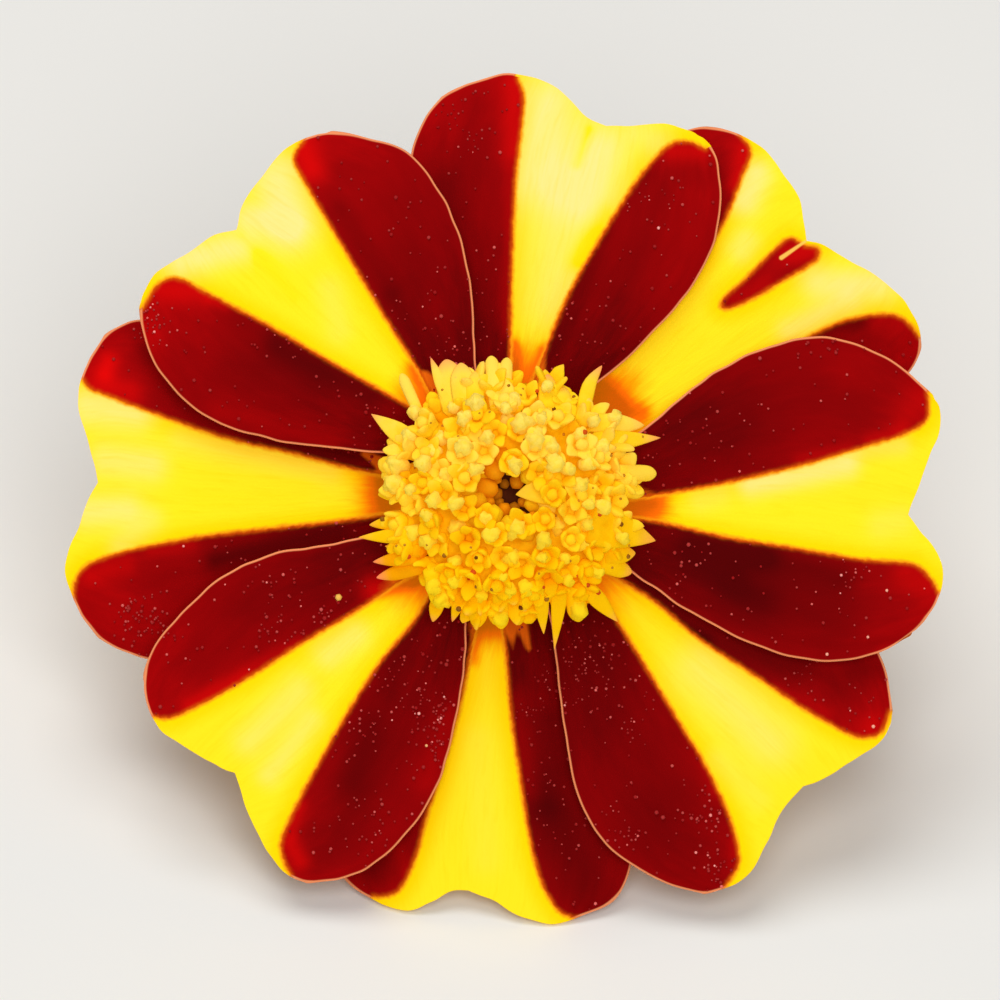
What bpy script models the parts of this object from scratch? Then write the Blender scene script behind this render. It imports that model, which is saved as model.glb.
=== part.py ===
"""A striped French marigold flower, cut with a short stem and lying on a surface.

Every piece is drawn in the flower's own frame, in millimetres: x to the right and y up as the
flower is seen face on, z along its axis towards the eye, with z = 0 at the upper petals' bases.
The empty flower_frame then lays the whole flower down.
"""

import math
import random

import bpy
import numpy as np
from mathutils import Matrix, Vector

# Driving dimensions, in millimetres and degrees
MM = 0.001
SHARP_EDGE_ANGLE = 40.0
CURVE_STEPS = 16
FACE_ELEVATION = 43.0
FACE_ROLL = 4.5
FLOWER_PLACE = (0.12, -6.5, 20.11)

PETAL_THICKNESS = 0.6
PETAL_COLUMNS = 12
PETAL_ROWS = 10
PETAL_DOME = 0.0030
PETAL_GROOVE = 0.25
PETAL_GROOVE_WIDTH = 0.3
PETAL_WAVE = 0.15
PETAL_WAVE_RUN = 7.0
PETAL_WAVE_SKEW = 2.0
PETAL_SPREAD = 0.35
CLAW_RING = 3.6
CLAW_FOOT = -13.8
CLAW_HALF_WIDTHS = (0.8, 1.0, 1.2, 1.7)
CLAW_BEND_ANGLES = (0.0, 25.0, 58.0)

CUP_TEETH = 8
CUP_TOOTH_HEIGHT = 1.3
CUP_RIB = 0.12
CUP_SIDES = 40

STEM_SIDES = 12
STEM_STEPS = 12
STEM_RIB = 0.05
STEM_BEND = 36.0
STEM_BEND_RADIUS = 25.0
STEM_SIDEWAYS = 10.0

FLORET_RINGS = ((17, 5.7, 74.0, 0.0), (14, 5.0, 46.0, 10.0), (10, 3.85, 24.0, 5.0), (7, 2.9, 8.0, 20.0))
FLORET_MOUTH = 1.32
FLORET_JITTER = 4.0
CORE_SIDES = 24
BUD_COUNT = 7
BUD_RING = 1.25
BUD_LEAN = 4.0
BUD_SIDES = 6
SEED = 7

# Colours, as linear red, green and blue
CRIMSON = (0.26, 0.0, 0.002)
YELLOW = (1.0, 0.62, 0.02)
ORANGE = (1.0, 0.32, 0.0)
GREEN = (0.10, 0.22, 0.03)

# Each petal: its level, how far its middle rises over its edges, its tilt, and its two halves.
# A half runs from the claw along the side and round the lobe to the notch.
PETALS = (
    dict(level=-1.1, rise=0.4, tilt=-0.4,
         clockwise=((3.0, 4.8), (7.3, 8.5), (10.5, 12.2), (11.8, 15.5), (11.8, 18.6), (10.9, 20.2),
                    (9.1, 21.1), (7.3, 21.1), (5.4, 21.0)),
         counter=((-2.0, 5.4), (-3.7, 9.1), (-5.2, 13.1), (-5.9, 17.1), (-5.5, 20.3), (-4.1, 22.5),
                  (-2.1, 23.6), (0.0, 24.0), (2.4, 23.3), (4.2, 21.6), (5.4, 21.0))),
    dict(level=-2.3, rise=0.9, tilt=0.0,
         clockwise=((5.5, 1.6), (11.0, 3.0), (16.1, 4.0), (20.3, 5.3), (22.8, 7.2), (23.3, 9.1),
                    (22.5, 10.9), (21.2, 12.2), (19.2, 13.4), (17.7, 14.3), (16.8, 14.5)),
         counter=((2.3, 5.2), (4.4, 10.5), (6.2, 15.4), (8.0, 19.2), (9.7, 20.7), (11.6, 20.9),
                  (13.6, 20.3), (15.1, 18.4), (16.5, 16.5), (16.8, 14.5))),
    dict(level=0.0, rise=0.3, tilt=0.0,
         clockwise=((4.7, -2.9), (8.1, -5.3), (11.4, -7.4), (14.7, -8.9), (18.0, -9.5), (21.1, -8.9),
                    (23.3, -7.3), (24.5, -5.3), (24.3, -3.4), (23.2, -2.0), (22.6, -1.1)),
         counter=((5.1, 1.9), (8.1, 4.3), (11.4, 6.9), (14.6, 8.5), (18.1, 9.0), (21.2, 7.9),
                  (23.5, 6.1), (24.4, 4.3), (23.8, 2.3), (22.9, -0.1), (22.6, -1.1))),
    dict(level=-1.1, rise=0.4, tilt=-0.3,
         clockwise=((1.9, -5.4), (2.5, -9.4), (3.0, -13.7), (3.7, -17.0), (5.0, -19.5), (6.8, -21.1),
                    (9.3, -22.3), (11.4, -22.6), (13.4, -21.7), (14.5, -19.8), (15.4, -18.1),
                    (16.6, -16.6)),
         counter=((5.3, -2.1), (10.9, -3.7), (15.5, -4.8), (19.1, -6.4), (21.0, -9.1), (21.6, -11.7),
                  (21.2, -13.8), (19.5, -15.1), (17.7, -16.2), (16.6, -16.6))),
    dict(level=-2.3, rise=0.9, tilt=0.0,
         clockwise=((-2.8, -5.0), (-6.1, -9.7), (-9.1, -13.5), (-10.8, -17.7), (-10.1, -20.9),
                    (-8.7, -22.6), (-6.2, -23.7), (-4.6, -23.2), (-3.5, -22.6), (-2.5, -22.6)),
         counter=((1.9, -5.4), (4.1, -10.6), (5.9, -14.6), (6.9, -18.2), (6.8, -21.1), (5.6, -23.2),
                  (2.7, -24.4), (0.7, -24.1), (-1.1, -23.1), (-2.5, -22.6))),
    dict(level=0.0, rise=0.3, tilt=0.0,
         clockwise=((-5.5, -1.5), (-9.8, -2.7), (-13.5, -3.3), (-16.6, -4.7), (-19.2, -7.1),
                    (-20.6, -9.1), (-20.9, -11.3), (-20.0, -13.4), (-18.3, -14.5), (-16.9, -15.4),
                    (-15.8, -15.8)),
         counter=((-2.7, -5.0), (-2.6, -8.5), (-3.1, -12.2), (-4.0, -15.9), (-5.6, -18.8),
                  (-8.0, -21.1), (-10.6, -22.0), (-12.8, -21.6), (-14.2, -19.8), (-15.1, -17.9),
                  (-15.8, -15.8))),
    dict(level=-2.3, rise=0.9, tilt=0.0,
         clockwise=((-5.2, 2.4), (-10.1, 5.1), (-14.2, 7.6), (-18.1, 9.4), (-21.2, 10.0),
                    (-23.2, 9.0), (-24.3, 7.2), (-24.8, 5.4), (-24.2, 3.1), (-23.6, 0.7)),
         counter=((-5.2, -2.4), (-10.1, -5.0), (-14.2, -7.6), (-17.8, -9.1), (-20.6, -9.4),
                  (-23.3, -8.3), (-24.9, -6.2), (-25.5, -4.0), (-24.7, -1.7), (-24.1, -0.1),
                  (-23.6, 0.7))),
    dict(level=0.0, rise=0.3, tilt=0.0,
         clockwise=((-1.9, 5.4), (-2.1, 8.5), (-2.4, 12.5), (-3.6, 16.4), (-5.9, 19.5), (-8.2, 20.3),
                    (-10.6, 20.6), (-12.8, 19.8), (-14.4, 17.9), (-15.3, 16.5), (-15.7, 15.1)),
         counter=((-5.4, 2.2), (-9.8, 2.6), (-13.8, 3.2), (-17.3, 4.4), (-20.0, 6.9), (-21.1, 9.9),
                  (-20.6, 12.2), (-18.6, 13.7), (-17.1, 14.7), (-15.7, 15.1))),
)

# Profiles as (radius, z), and the stem's radii as (fraction of its length, radius)
CUP_OUTSIDE = ((3.3, -16.5), (4.45, -15.6), (4.95, -13.8), (5.1, -10.5), (5.0, -7.5), (4.95, -5.6))
CUP_INSIDE = ((2.75, -16.5), (3.8, -15.4), (4.3, -13.8), (4.4, -10.5), (4.4, -7.5), (4.4, -5.6))
STEM_TOP = ((0.0, -13.95), (2.2, -14.0), (3.45, -14.2), (3.5, -14.6), (2.25, -16.4), (2.85, -17.15),
            (2.7, -18.2))
STEM_RADII = ((0.0, 2.7), (0.25, 2.1), (0.55, 1.6), (1.0, 1.3))
CORE_FLANK = ((0.0, -13.6), (2.85, -13.6), (2.95, -8.0), (2.95, -1.7), (3.3, -0.3), (4.2, 0.65),
              (5.2, 0.95), (5.9, 1.1))
CORE_TOP = ((6.15, 1.6), (5.6, 2.3), (4.2, 3.0), (2.7, 3.3))
CORE_SOCKET = ((2.1, 3.1), (2.05, 1.4), (0.0, 1.4))
PLUG_PROFILE = ((0.0, 1.7), (1.7, 1.7), (1.75, 2.6), (1.0, 2.8), (0.45, 2.6), (0.0, 2.0))
FLORET_PROFILE = ((0.45, -1.0), (0.6, 0.4), (0.75, 1.5), (0.42, 1.3), (0.42, 2.2), (0.0, 2.7))
FLORET_LOBE_Z = 2.0
BUD_PROFILE = ((0.35, -0.6), (0.5, 0.6), (0.52, 1.3), (0.0, 2.0))


def clear_scene():
    for old in list(bpy.data.objects):
        bpy.data.objects.remove(old, do_unlink=True)


def material(name, colour, roughness):
    made = bpy.data.materials.new(name)
    made.use_nodes = True
    shader = made.node_tree.nodes["Principled BSDF"]
    shader.inputs["Base Color"].default_value = (*colour, 1.0)
    shader.inputs["Roughness"].default_value = roughness
    shader.inputs["Metallic"].default_value = 0.0
    return made


def add_piece(name, points, faces, look, frame):
    mesh = bpy.data.meshes.new(name)
    mesh.from_pydata([Vector(p) * MM for p in points], [], faces)
    mesh.validate()
    mesh.shade_smooth()
    mesh.set_sharp_from_angle(angle=math.radians(SHARP_EDGE_ANGLE))
    mesh.materials.append(look)
    piece = bpy.data.objects.new(name, mesh)
    bpy.context.collection.objects.link(piece)
    piece.parent = frame
    return piece


def spline(points):
    """A smooth curve through the points, as samples evenly spaced along it."""
    p = [np.array(q, float) for q in points]
    p = [2 * p[0] - p[1]] + p + [2 * p[-1] - p[-2]]
    curve = []
    for a, b, c, d in zip(p, p[1:], p[2:], p[3:]):
        for k in range(CURVE_STEPS):
            t = k / CURVE_STEPS
            curve.append(0.5 * (2 * b + (c - a) * t + (2 * a - 5 * b + 4 * c - d) * t ** 2
                                + (3 * b - a - 3 * c + d) * t ** 3))
    curve.append(p[-2])
    return np.array(curve)


def along(curve, fraction):
    """The point at a fraction of the curve's length."""
    steps = np.linalg.norm(np.diff(curve, axis=0), axis=1)
    run = np.concatenate(([0.0], np.cumsum(steps)))
    return np.array([np.interp(fraction * run[-1], run, curve[:, k]) for k in (0, 1)])


def smooth_step(x):
    x = min(max(x, 0.0), 1.0)
    return x * x * (3.0 - 2.0 * x)


def ring_points(radius, z, sides):
    step = 2 * math.pi / sides
    return [(radius * math.cos(k * step), radius * math.sin(k * step), z) for k in range(sides)]


def bridge(lower, upper, sides):
    """Faces between two rings, given by the index of their first points, seen from outside."""
    faces = []
    for k in range(sides):
        m = (k + 1) % sides
        faces.append((lower + k, lower + m, upper + m, upper + k))
    return faces


def split_at_shoulder(curve, outward, sideways):
    """Cuts a half outline where it reaches furthest along the diagonal: side, then rim."""
    reach = curve @ (outward + sideways)
    cut = int(np.argmax(reach))
    return curve[:cut + 1], curve[cut:]


def petal_sheet(petal, columns, rows):
    """The petal's middle surface, as rows of points from the foot of its claw to its rim."""
    halves = [spline(petal["clockwise"]), spline(petal["counter"])]
    foot_right, foot_left = halves[0][0], halves[1][0]
    middle = (foot_right + foot_left) / 2
    outward = middle / np.linalg.norm(middle)
    sideways = np.array((-outward[1], outward[0]))
    right_side, right_rim = split_at_shoulder(halves[0], outward, -sideways)
    left_side, left_rim = split_at_shoulder(halves[1], outward, sideways)
    left_rim = left_rim[::-1]
    base_out = float(middle @ outward)
    bend = base_out - CLAW_RING
    level = petal["level"]

    def rim(u):
        return along(right_rim, 2 * u) if u < 0.5 else along(left_rim, 2 * u - 1)

    claw = [(CLAW_RING, CLAW_FOOT)]
    for angle in CLAW_BEND_ANGLES:
        turn = math.radians(angle)
        claw.append((base_out - bend * math.cos(turn), level - bend + bend * math.sin(turn)))
    sheet = []
    for (out, z), half in zip(claw, CLAW_HALF_WIDTHS):
        row = []
        for i in range(columns + 1):
            x, y = outward * out + sideways * (2 * i / columns - 1) * half
            row.append((x, y, z))
        sheet.append(row)
    for j in range(rows + 1):
        v = j / rows
        right, left = along(right_side, v), along(left_side, v)
        grown = smooth_step(v / PETAL_SPREAD)
        row = []
        for i in range(columns + 1):
            u = i / columns
            across = 2 * u - 1
            corner = (1 - u) * right_side[-1] + u * left_side[-1]
            x, y = (1 - u) * right + u * left + v * (rim(u) - corner)
            shape = petal["rise"] * (1 - across ** 2) + petal["tilt"] * across
            shape -= PETAL_GROOVE * math.exp(-(across / PETAL_GROOVE_WIDTH) ** 2)
            wave = math.sin(PETAL_WAVE_RUN * v + PETAL_WAVE_SKEW * across)
            shape += PETAL_WAVE * wave * across ** 2
            shape -= PETAL_DOME * (x * x + y * y - base_out ** 2)
            row.append((x, y, level + grown * shape))
        sheet.append(row)
    return np.array(sheet)


def sheet_normals(sheet):
    rows = np.gradient(sheet, axis=0)
    columns = np.gradient(sheet, axis=1)
    normals = np.cross(columns, rows)
    normals /= np.linalg.norm(normals, axis=2, keepdims=True)
    return -normals


def build_petal(name, petal, look, frame):
    sheet = petal_sheet(petal, PETAL_COLUMNS, PETAL_ROWS)
    offset = sheet_normals(sheet) * (PETAL_THICKNESS / 2)
    rows, columns = sheet.shape[:2]
    count = rows * columns
    points = np.concatenate(((sheet + offset).reshape(-1, 3), (sheet - offset).reshape(-1, 3)))

    faces = []
    for j in range(rows - 1):
        for i in range(columns - 1):
            a = j * columns + i
            b, c, d = a + 1, a + columns + 1, a + columns
            halves = ((a, b, c), (a, c, d)) if i >= columns // 2 else ((a, b, d), (b, c, d))
            for p, q, r in halves:
                faces.append((r, q, p))
                faces.append((p + count, q + count, r + count))
    edge = list(range(columns))
    edge += [j * columns + columns - 1 for j in range(1, rows)]
    edge += [(rows - 1) * columns + i for i in range(columns - 2, -1, -1)]
    edge += [j * columns for j in range(rows - 2, 0, -1)]
    for p, q in zip(edge, edge[1:] + edge[:1]):
        faces.append((p, q, q + count))
        faces.append((p, q + count, p + count))
    return add_piece(name, points, faces, look, frame)


def turned_solid(profile, sides):
    """A solid of revolution whose profile starts and ends on the axis, from the bottom up."""
    points = [(0.0, 0.0, profile[0][1])]
    faces = []
    for radius, z in profile[1:-1]:
        points += ring_points(radius, z, sides)
    points.append((0.0, 0.0, profile[-1][1]))
    for k in range(sides):
        faces.append((0, 1 + (k + 1) % sides, 1 + k))
    for ring in range(len(profile) - 3):
        faces += bridge(1 + ring * sides, 1 + (ring + 1) * sides, sides)
    first, last = 1 + (len(profile) - 3) * sides, len(points) - 1
    for k in range(sides):
        faces.append((first + k, first + (k + 1) % sides, last))
    return points, faces


def build_involucre(look, frame):
    points, faces = [], []
    profile = list(CUP_OUTSIDE) + list(reversed(CUP_INSIDE))
    rim_z = CUP_OUTSIDE[-1][1]
    for radius, z in profile:
        on_outside = len(points) < len(CUP_OUTSIDE) * CUP_SIDES
        for k in range(CUP_SIDES):
            angle = 2 * math.pi * k / CUP_SIDES
            rib = math.cos(CUP_TEETH * angle)
            tooth = CUP_TOOTH_HEIGHT * (0.5 + 0.5 * rib) if z == rim_z else 0.0
            wide = radius + (CUP_RIB * rib if on_outside else 0.0)
            points.append((wide * math.cos(angle), wide * math.sin(angle), z + tooth))
    for ring in range(len(profile)):
        lower = ring * CUP_SIDES
        upper = ((ring + 1) % len(profile)) * CUP_SIDES
        faces += bridge(lower, upper, CUP_SIDES)
    return add_piece("involucre", points, faces, look, frame)


def stem_rings():
    """The rings below the head: centre, direction and radius, curving down to the surface."""
    start = Vector((0.0, 0.0, STEM_TOP[-1][1]))
    length = math.radians(STEM_BEND) * STEM_BEND_RADIUS
    sideways = math.sin(math.radians(STEM_SIDEWAYS))
    rings = []
    for k in range(1, STEM_STEPS + 1):
        fraction = k / STEM_STEPS
        turn = math.radians(STEM_BEND) * fraction
        back = STEM_BEND_RADIUS * (1 - math.cos(turn))
        down = STEM_BEND_RADIUS * math.sin(turn)
        centre = start + Vector((sideways * length * fraction ** 2 / 2, back, -down))
        direction = Vector((sideways * fraction, math.sin(turn), -math.cos(turn)))
        radius = float(np.interp(fraction, *zip(*STEM_RADII)))
        rings.append((centre, direction.normalized(), radius))
    return rings


def build_stem(look, frame):
    rings = [(Vector((0.0, 0.0, z)), Vector((0.0, 0.0, -1.0)), r) for r, z in STEM_TOP[1:]]
    rings += stem_rings()
    points = [(0.0, 0.0, STEM_TOP[0][1])]
    for centre, direction, radius in rings:
        right = Vector((1.0, 0.0, 0.0))
        ahead = direction.cross(right).normalized()
        right = ahead.cross(direction)
        for k in range(STEM_SIDES):
            angle = 2 * math.pi * k / STEM_SIDES
            wide = radius * (1 + STEM_RIB * (-1) ** k)
            points.append(centre + (right * math.cos(angle) + ahead * math.sin(angle)) * wide)
    points.append(rings[-1][0])
    last = len(points) - 1
    faces = [(0, 1 + (k + 1) % STEM_SIDES, 1 + k) for k in range(STEM_SIDES)]
    for ring in range(len(rings) - 1):
        faces += bridge(1 + ring * STEM_SIDES, 1 + (ring + 1) * STEM_SIDES, STEM_SIDES)
    end = 1 + (len(rings) - 1) * STEM_SIDES
    faces += [(end + k, end + (k + 1) % STEM_SIDES, last) for k in range(STEM_SIDES)]
    return add_piece("stem", points, faces, look, frame)


def floret_shape(mouth):
    """An open five-lobed trumpet with the knob of its anthers in the mouth, along +z."""
    base, neck, valley, throat, knob, tip = FLORET_PROFILE
    points = ring_points(*base, 5) + ring_points(*neck, 5)
    star = []
    for k in range(10):
        radius, z = (mouth, FLORET_LOBE_Z) if k % 2 == 0 else valley
        angle = math.pi * k / 5
        star.append((radius * math.cos(angle), radius * math.sin(angle), z))
    points += star + ring_points(*throat, 5) + ring_points(*knob, 5) + [(0.0, 0.0, tip[1])]
    faces = [tuple(range(4, -1, -1))] + bridge(0, 5, 5)
    for k in range(5):
        m = (k + 1) % 5
        lobe, gap, after = 10 + 2 * k, 11 + 2 * k, 10 + 2 * m
        faces += [(5 + k, gap, lobe), (5 + k, 5 + m, gap), (5 + m, after, gap)]
        faces += [(lobe, gap, 20 + k), (gap, 20 + m, 20 + k), (gap, after, 20 + m)]
    faces += bridge(20, 25, 5)
    faces += [(25 + k, 25 + (k + 1) % 5, 30) for k in range(5)]
    return points, faces


def placed(points, place):
    return [place @ Vector(p) for p in points]


def fuse(core, parts):
    """Joins the small parts to their core by one Boolean union, then removes them."""
    group = bpy.data.collections.new(core.name + "_parts")
    bpy.context.scene.collection.children.link(group)
    for part in parts:
        group.objects.link(part)
        bpy.context.collection.objects.unlink(part)
    union = core.modifiers.new("union", "BOOLEAN")
    union.operation = "UNION"
    union.solver = "EXACT"
    union.operand_type = "COLLECTION"
    union.collection = group
    bpy.context.view_layer.update()
    fused = bpy.data.meshes.new_from_object(core.evaluated_get(bpy.context.evaluated_depsgraph_get()))
    core.modifiers.remove(union)
    core.data = fused
    for part in parts:
        bpy.data.objects.remove(part, do_unlink=True)
    bpy.data.collections.remove(group)


def core_surface_z(radius):
    return float(np.interp(radius, *zip(*reversed(CORE_TOP))))


def build_disc_florets(look, frame, draw):
    points, faces = turned_solid(CORE_FLANK + CORE_TOP + CORE_SOCKET, CORE_SIDES)
    core = add_piece("disc_florets", points, faces, look, frame)

    def jitter():
        return draw.uniform(-FLORET_JITTER, FLORET_JITTER)

    parts = []
    for count, radius, lean, start in FLORET_RINGS:
        for k in range(count):
            angle = math.radians(start + 360.0 * k / count + jitter())
            tip = math.radians(lean + jitter())
            foot = Vector((radius, 0.0, core_surface_z(radius)))
            place = (Matrix.Rotation(angle, 4, "Z") @ Matrix.Translation(foot)
                     @ Matrix.Rotation(tip, 4, "Y")
                     @ Matrix.Rotation(math.radians(draw.uniform(0.0, 72.0)), 4, "Z"))
            shape, sides = floret_shape(FLORET_MOUTH * draw.uniform(0.9, 1.1))
            parts.append(add_piece("floret", placed(shape, place), sides, look, frame))
    fuse(core, parts)
    return core


def build_disc_buds(look, frame, draw):
    points, faces = turned_solid(PLUG_PROFILE, CORE_SIDES)
    core = add_piece("disc_buds", points, faces, look, frame)
    parts = []
    for k in range(BUD_COUNT):
        angle = math.radians(360.0 * k / BUD_COUNT + draw.uniform(-FLORET_JITTER, FLORET_JITTER))
        foot = Vector((BUD_RING, 0.0, PLUG_PROFILE[2][1]))
        place = (Matrix.Rotation(angle, 4, "Z") @ Matrix.Translation(foot)
                 @ Matrix.Rotation(math.radians(BUD_LEAN), 4, "Y"))
        low, waist, cheek, tip = BUD_PROFILE
        shape, sides = turned_solid(((0.0, low[1]), low, waist, cheek, tip), BUD_SIDES)
        parts.append(add_piece("bud", placed(shape, place), sides, look, frame))
    fuse(core, parts)
    return core


def build_flower():
    draw = random.Random(SEED)
    red = material("petal_red", CRIMSON, 0.5)
    yellow = material("floret_yellow", YELLOW, 0.6)
    orange = material("bud_orange", ORANGE, 0.6)
    green = material("stem_green", GREEN, 0.6)

    frame = bpy.data.objects.new("flower_frame", None)
    bpy.context.collection.objects.link(frame)
    frame.location = Vector(FLOWER_PLACE) * MM
    frame.rotation_mode = "ZYX"
    frame.rotation_euler = (math.radians(90.0 - FACE_ELEVATION), 0.0, math.radians(FACE_ROLL))

    build_stem(green, frame)
    build_involucre(green, frame)
    for number, petal in enumerate(PETALS, start=1):
        build_petal("ray_petal_%d" % number, petal, red, frame)
    build_disc_florets(yellow, frame, draw)
    build_disc_buds(orange, frame, draw)


clear_scene()
build_flower()
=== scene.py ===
import math
import random

import bmesh
import bpy
import numpy as np
from mathutils import Matrix, Vector, bvhtree, kdtree, noise


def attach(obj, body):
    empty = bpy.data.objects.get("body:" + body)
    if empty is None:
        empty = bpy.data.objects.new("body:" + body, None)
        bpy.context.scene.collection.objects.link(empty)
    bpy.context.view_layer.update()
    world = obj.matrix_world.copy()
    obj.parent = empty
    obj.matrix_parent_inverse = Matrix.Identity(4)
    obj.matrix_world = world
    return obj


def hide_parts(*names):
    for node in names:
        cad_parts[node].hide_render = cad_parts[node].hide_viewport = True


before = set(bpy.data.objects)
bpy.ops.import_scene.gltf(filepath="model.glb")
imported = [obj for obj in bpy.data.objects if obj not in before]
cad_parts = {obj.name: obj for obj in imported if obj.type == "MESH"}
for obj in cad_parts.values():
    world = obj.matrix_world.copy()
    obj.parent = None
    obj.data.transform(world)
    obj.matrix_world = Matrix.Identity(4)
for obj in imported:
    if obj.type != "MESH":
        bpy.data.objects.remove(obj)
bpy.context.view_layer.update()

# How the flower lies: on the end of its cut stalk and the tips of its lowest petal, with its face
# turned up and forwards. Its pieces are drawn face on, in millimetres: x to the right, y up, z along
# the axis towards the eye. lay_down takes them to where the flower lies, in metres.
MM = 0.001
FACE_ELEVATION = 43.0
FACE_ROLL = 4.5
FLOWER_PLACE = (0.12, -6.5, 20.11)
face_turn = (Matrix.Rotation(math.radians(90.0 - FACE_ELEVATION), 4, "X")
             @ Matrix.Rotation(math.radians(FACE_ROLL), 4, "Z"))
lay_down = Matrix.Translation(Vector(FLOWER_PLACE) * MM) @ face_turn @ Matrix.Scale(MM, 4)

# The camera stands square to the flower's face, with a long lens, so that the petals keep their
# true outlines. The picture is 1000 pixels wide and takes in 57 mm at the petals.
CAMERA_AIM = (-0.683, -0.285)
CAMERA_DISTANCE = 900.0
CAMERA_SENSOR = 36.0
CAMERA_CLIP = (0.01, 20.0)
PICTURE_WIDTH = 56.95
PETAL_PLANE = -1.2


def set_out(name, data):
    """A new object in the scene."""
    made = bpy.data.objects.new(name, data)
    bpy.context.scene.collection.objects.link(made)
    return made


camera_data = bpy.data.cameras.new("camera")
camera_data.sensor_width = CAMERA_SENSOR
camera_data.lens = CAMERA_SENSOR * (CAMERA_DISTANCE - PETAL_PLANE) / PICTURE_WIDTH
camera_data.clip_start, camera_data.clip_end = CAMERA_CLIP
camera = set_out("camera", camera_data)
camera.matrix_world = Matrix.Translation(lay_down @ Vector((*CAMERA_AIM, CAMERA_DISTANCE))) @ face_turn
bpy.context.scene.camera = camera


# The studio: a plain pale floor, two large soft lamps, one high over the flower and a stronger one on
# the camera's side, and an even pale surround that fills the shadows.
def srgb(red, green, blue):
    """A colour as read from a picture, 0 to 255, as linear values with alpha."""
    values = [c / 255.0 for c in (red, green, blue)]
    return tuple(c / 12.92 if c <= 0.04045 else ((c + 0.055) / 1.055) ** 2.4 for c in values) + (1.0,)


class Socket:
    """A node's output that can stand in a sum."""

    def __init__(self, nodes, output):
        self.nodes, self.output = nodes, output

    def __add__(self, other):
        return self.nodes.maths("ADD", self, other)

    def __sub__(self, other):
        return self.nodes.maths("SUBTRACT", self, other)

    def __rsub__(self, other):
        return self.nodes.maths("SUBTRACT", other, self)

    def __mul__(self, other):
        return self.nodes.maths("MULTIPLY", self, other)

    def __truediv__(self, other):
        return self.nodes.maths("DIVIDE", self, other)

    __radd__ = __add__


class Nodes:
    """Puts nodes into a material's or a shape's tree and links them."""

    def __init__(self, tree):
        self.tree = tree

    def pick(self, sockets, key):
        usable = [s for s in sockets if s.enabled]
        if isinstance(key, int):
            return usable[key]
        return next(s for s in usable if s.name == key)

    def put(self, kind, settings=None, sockets=None, out=0):
        node = self.tree.nodes.new(kind)
        for key, value in (settings or {}).items():
            if key == "stops":
                while len(node.color_ramp.elements) < len(value):
                    node.color_ramp.elements.new(1.0)
                for stop, (position, colour) in zip(node.color_ramp.elements, value):
                    stop.position, stop.color = position, colour
            else:
                setattr(node, key, value)
        for key, value in (sockets or {}).items():
            entry = self.pick(node.inputs, key)
            if isinstance(value, Socket):
                self.tree.links.new(value.output, entry)
            else:
                entry.default_value = value
        return Socket(self, self.pick(node.outputs, out)) if len(node.outputs) else node

    def maths(self, operation, *values):
        return self.put("ShaderNodeMath", {"operation": operation}, dict(enumerate(values)))

    def mix(self, factor, first, second):
        return self.put("ShaderNodeMix", {"data_type": "RGBA"}, {"Factor": factor, "A": first, "B": second})

    def step(self, value, low, high):
        """0 below low, 1 above high, and smooth between them."""
        settings = {"interpolation_type": "SMOOTHSTEP"}
        return self.put("ShaderNodeMapRange", settings, {"Value": value, "From Min": low, "From Max": high})

    def value(self, name):
        """A number kept at the piece's points."""
        return self.put("ShaderNodeAttribute", {"attribute_name": name}, out="Fac")

    def vectors(self, operation, first, second, out=0):
        return self.put("ShaderNodeVectorMath", {"operation": operation}, {0: first, 1: second}, out)

    def place(self, name, stretch):
        """A position kept at the piece's points, stretched for a pattern that runs one way."""
        spot = self.put("ShaderNodeAttribute", {"attribute_name": name}, out="Vector")
        return self.vectors("MULTIPLY", spot, stretch)

    def here(self):
        """Where a point of the piece is, in metres."""
        return self.put("ShaderNodeTexCoord", out="Object")

    def grain(self, where, scale, detail=2.0):
        inputs = {"Vector": where, "Scale": scale, "Detail": detail}
        return self.put("ShaderNodeTexNoise", None, inputs, "Fac")

    def pattern(self, name, stretch, detail=2.0):
        """Grain over a position kept at the piece's points."""
        return self.grain(self.place(name, stretch), 1.0, detail)

    def relief(self, height):
        """Normals that follow a height in metres."""
        inputs = {"Strength": 1.0, "Distance": 1.0, "Height": height}
        return self.put("ShaderNodeBump", None, inputs, "Normal")

    def coats(self, colour, *coats):
        """A colour with coats over it, each given by how far it covers and its colour."""
        for cover, coat in coats:
            colour = self.mix(cover, colour, coat)
        return colour


def finish_material(name, recipe, **constants):
    """A material with some inputs constant and the others as its recipe makes them vary."""
    made = bpy.data.materials.new(name)
    made.use_nodes = True
    inputs = made.node_tree.nodes["Principled BSDF"].inputs
    for key, value in constants.items():
        inputs[key.replace("_", " ")].default_value = value
    for key, socket in recipe(Nodes(made.node_tree)).items():
        made.node_tree.links.new(socket.output, inputs[key.replace("_", " ")])
    return made


FLOOR_SIZE = 3.0
SURROUND_STRENGTH = 0.225
LAMP_AIM = (0.0, 0.0, 0.02)
LAMPS = (
    dict(name="high_lamp", at=(-0.2, 0.1, 0.95), size=0.7, watts=4.4, colour=(1.0, 0.99, 0.97)),
    dict(name="front_lamp", at=(0.1, -0.85, 0.95), size=0.8, watts=8.2, colour=(1.0, 1.0, 1.0)),
)


def floor_recipe(nodes):
    cloud = nodes.grain(nodes.here(), 3.0)
    return dict(Base_Color=nodes.mix(cloud, srgb(237, 236, 232), srgb(241, 240, 237)))


floor_mesh = bpy.data.meshes.new("floor")
half = FLOOR_SIZE / 2
floor_corners = [(-half, -half, 0), (half, -half, 0), (half, half, 0), (-half, half, 0)]
floor_mesh.from_pydata(floor_corners, [], [(0, 1, 2, 3)])
floor_mesh.materials.append(finish_material("floor_paint", floor_recipe, Roughness=0.9))
floor = set_out("floor", floor_mesh)

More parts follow.
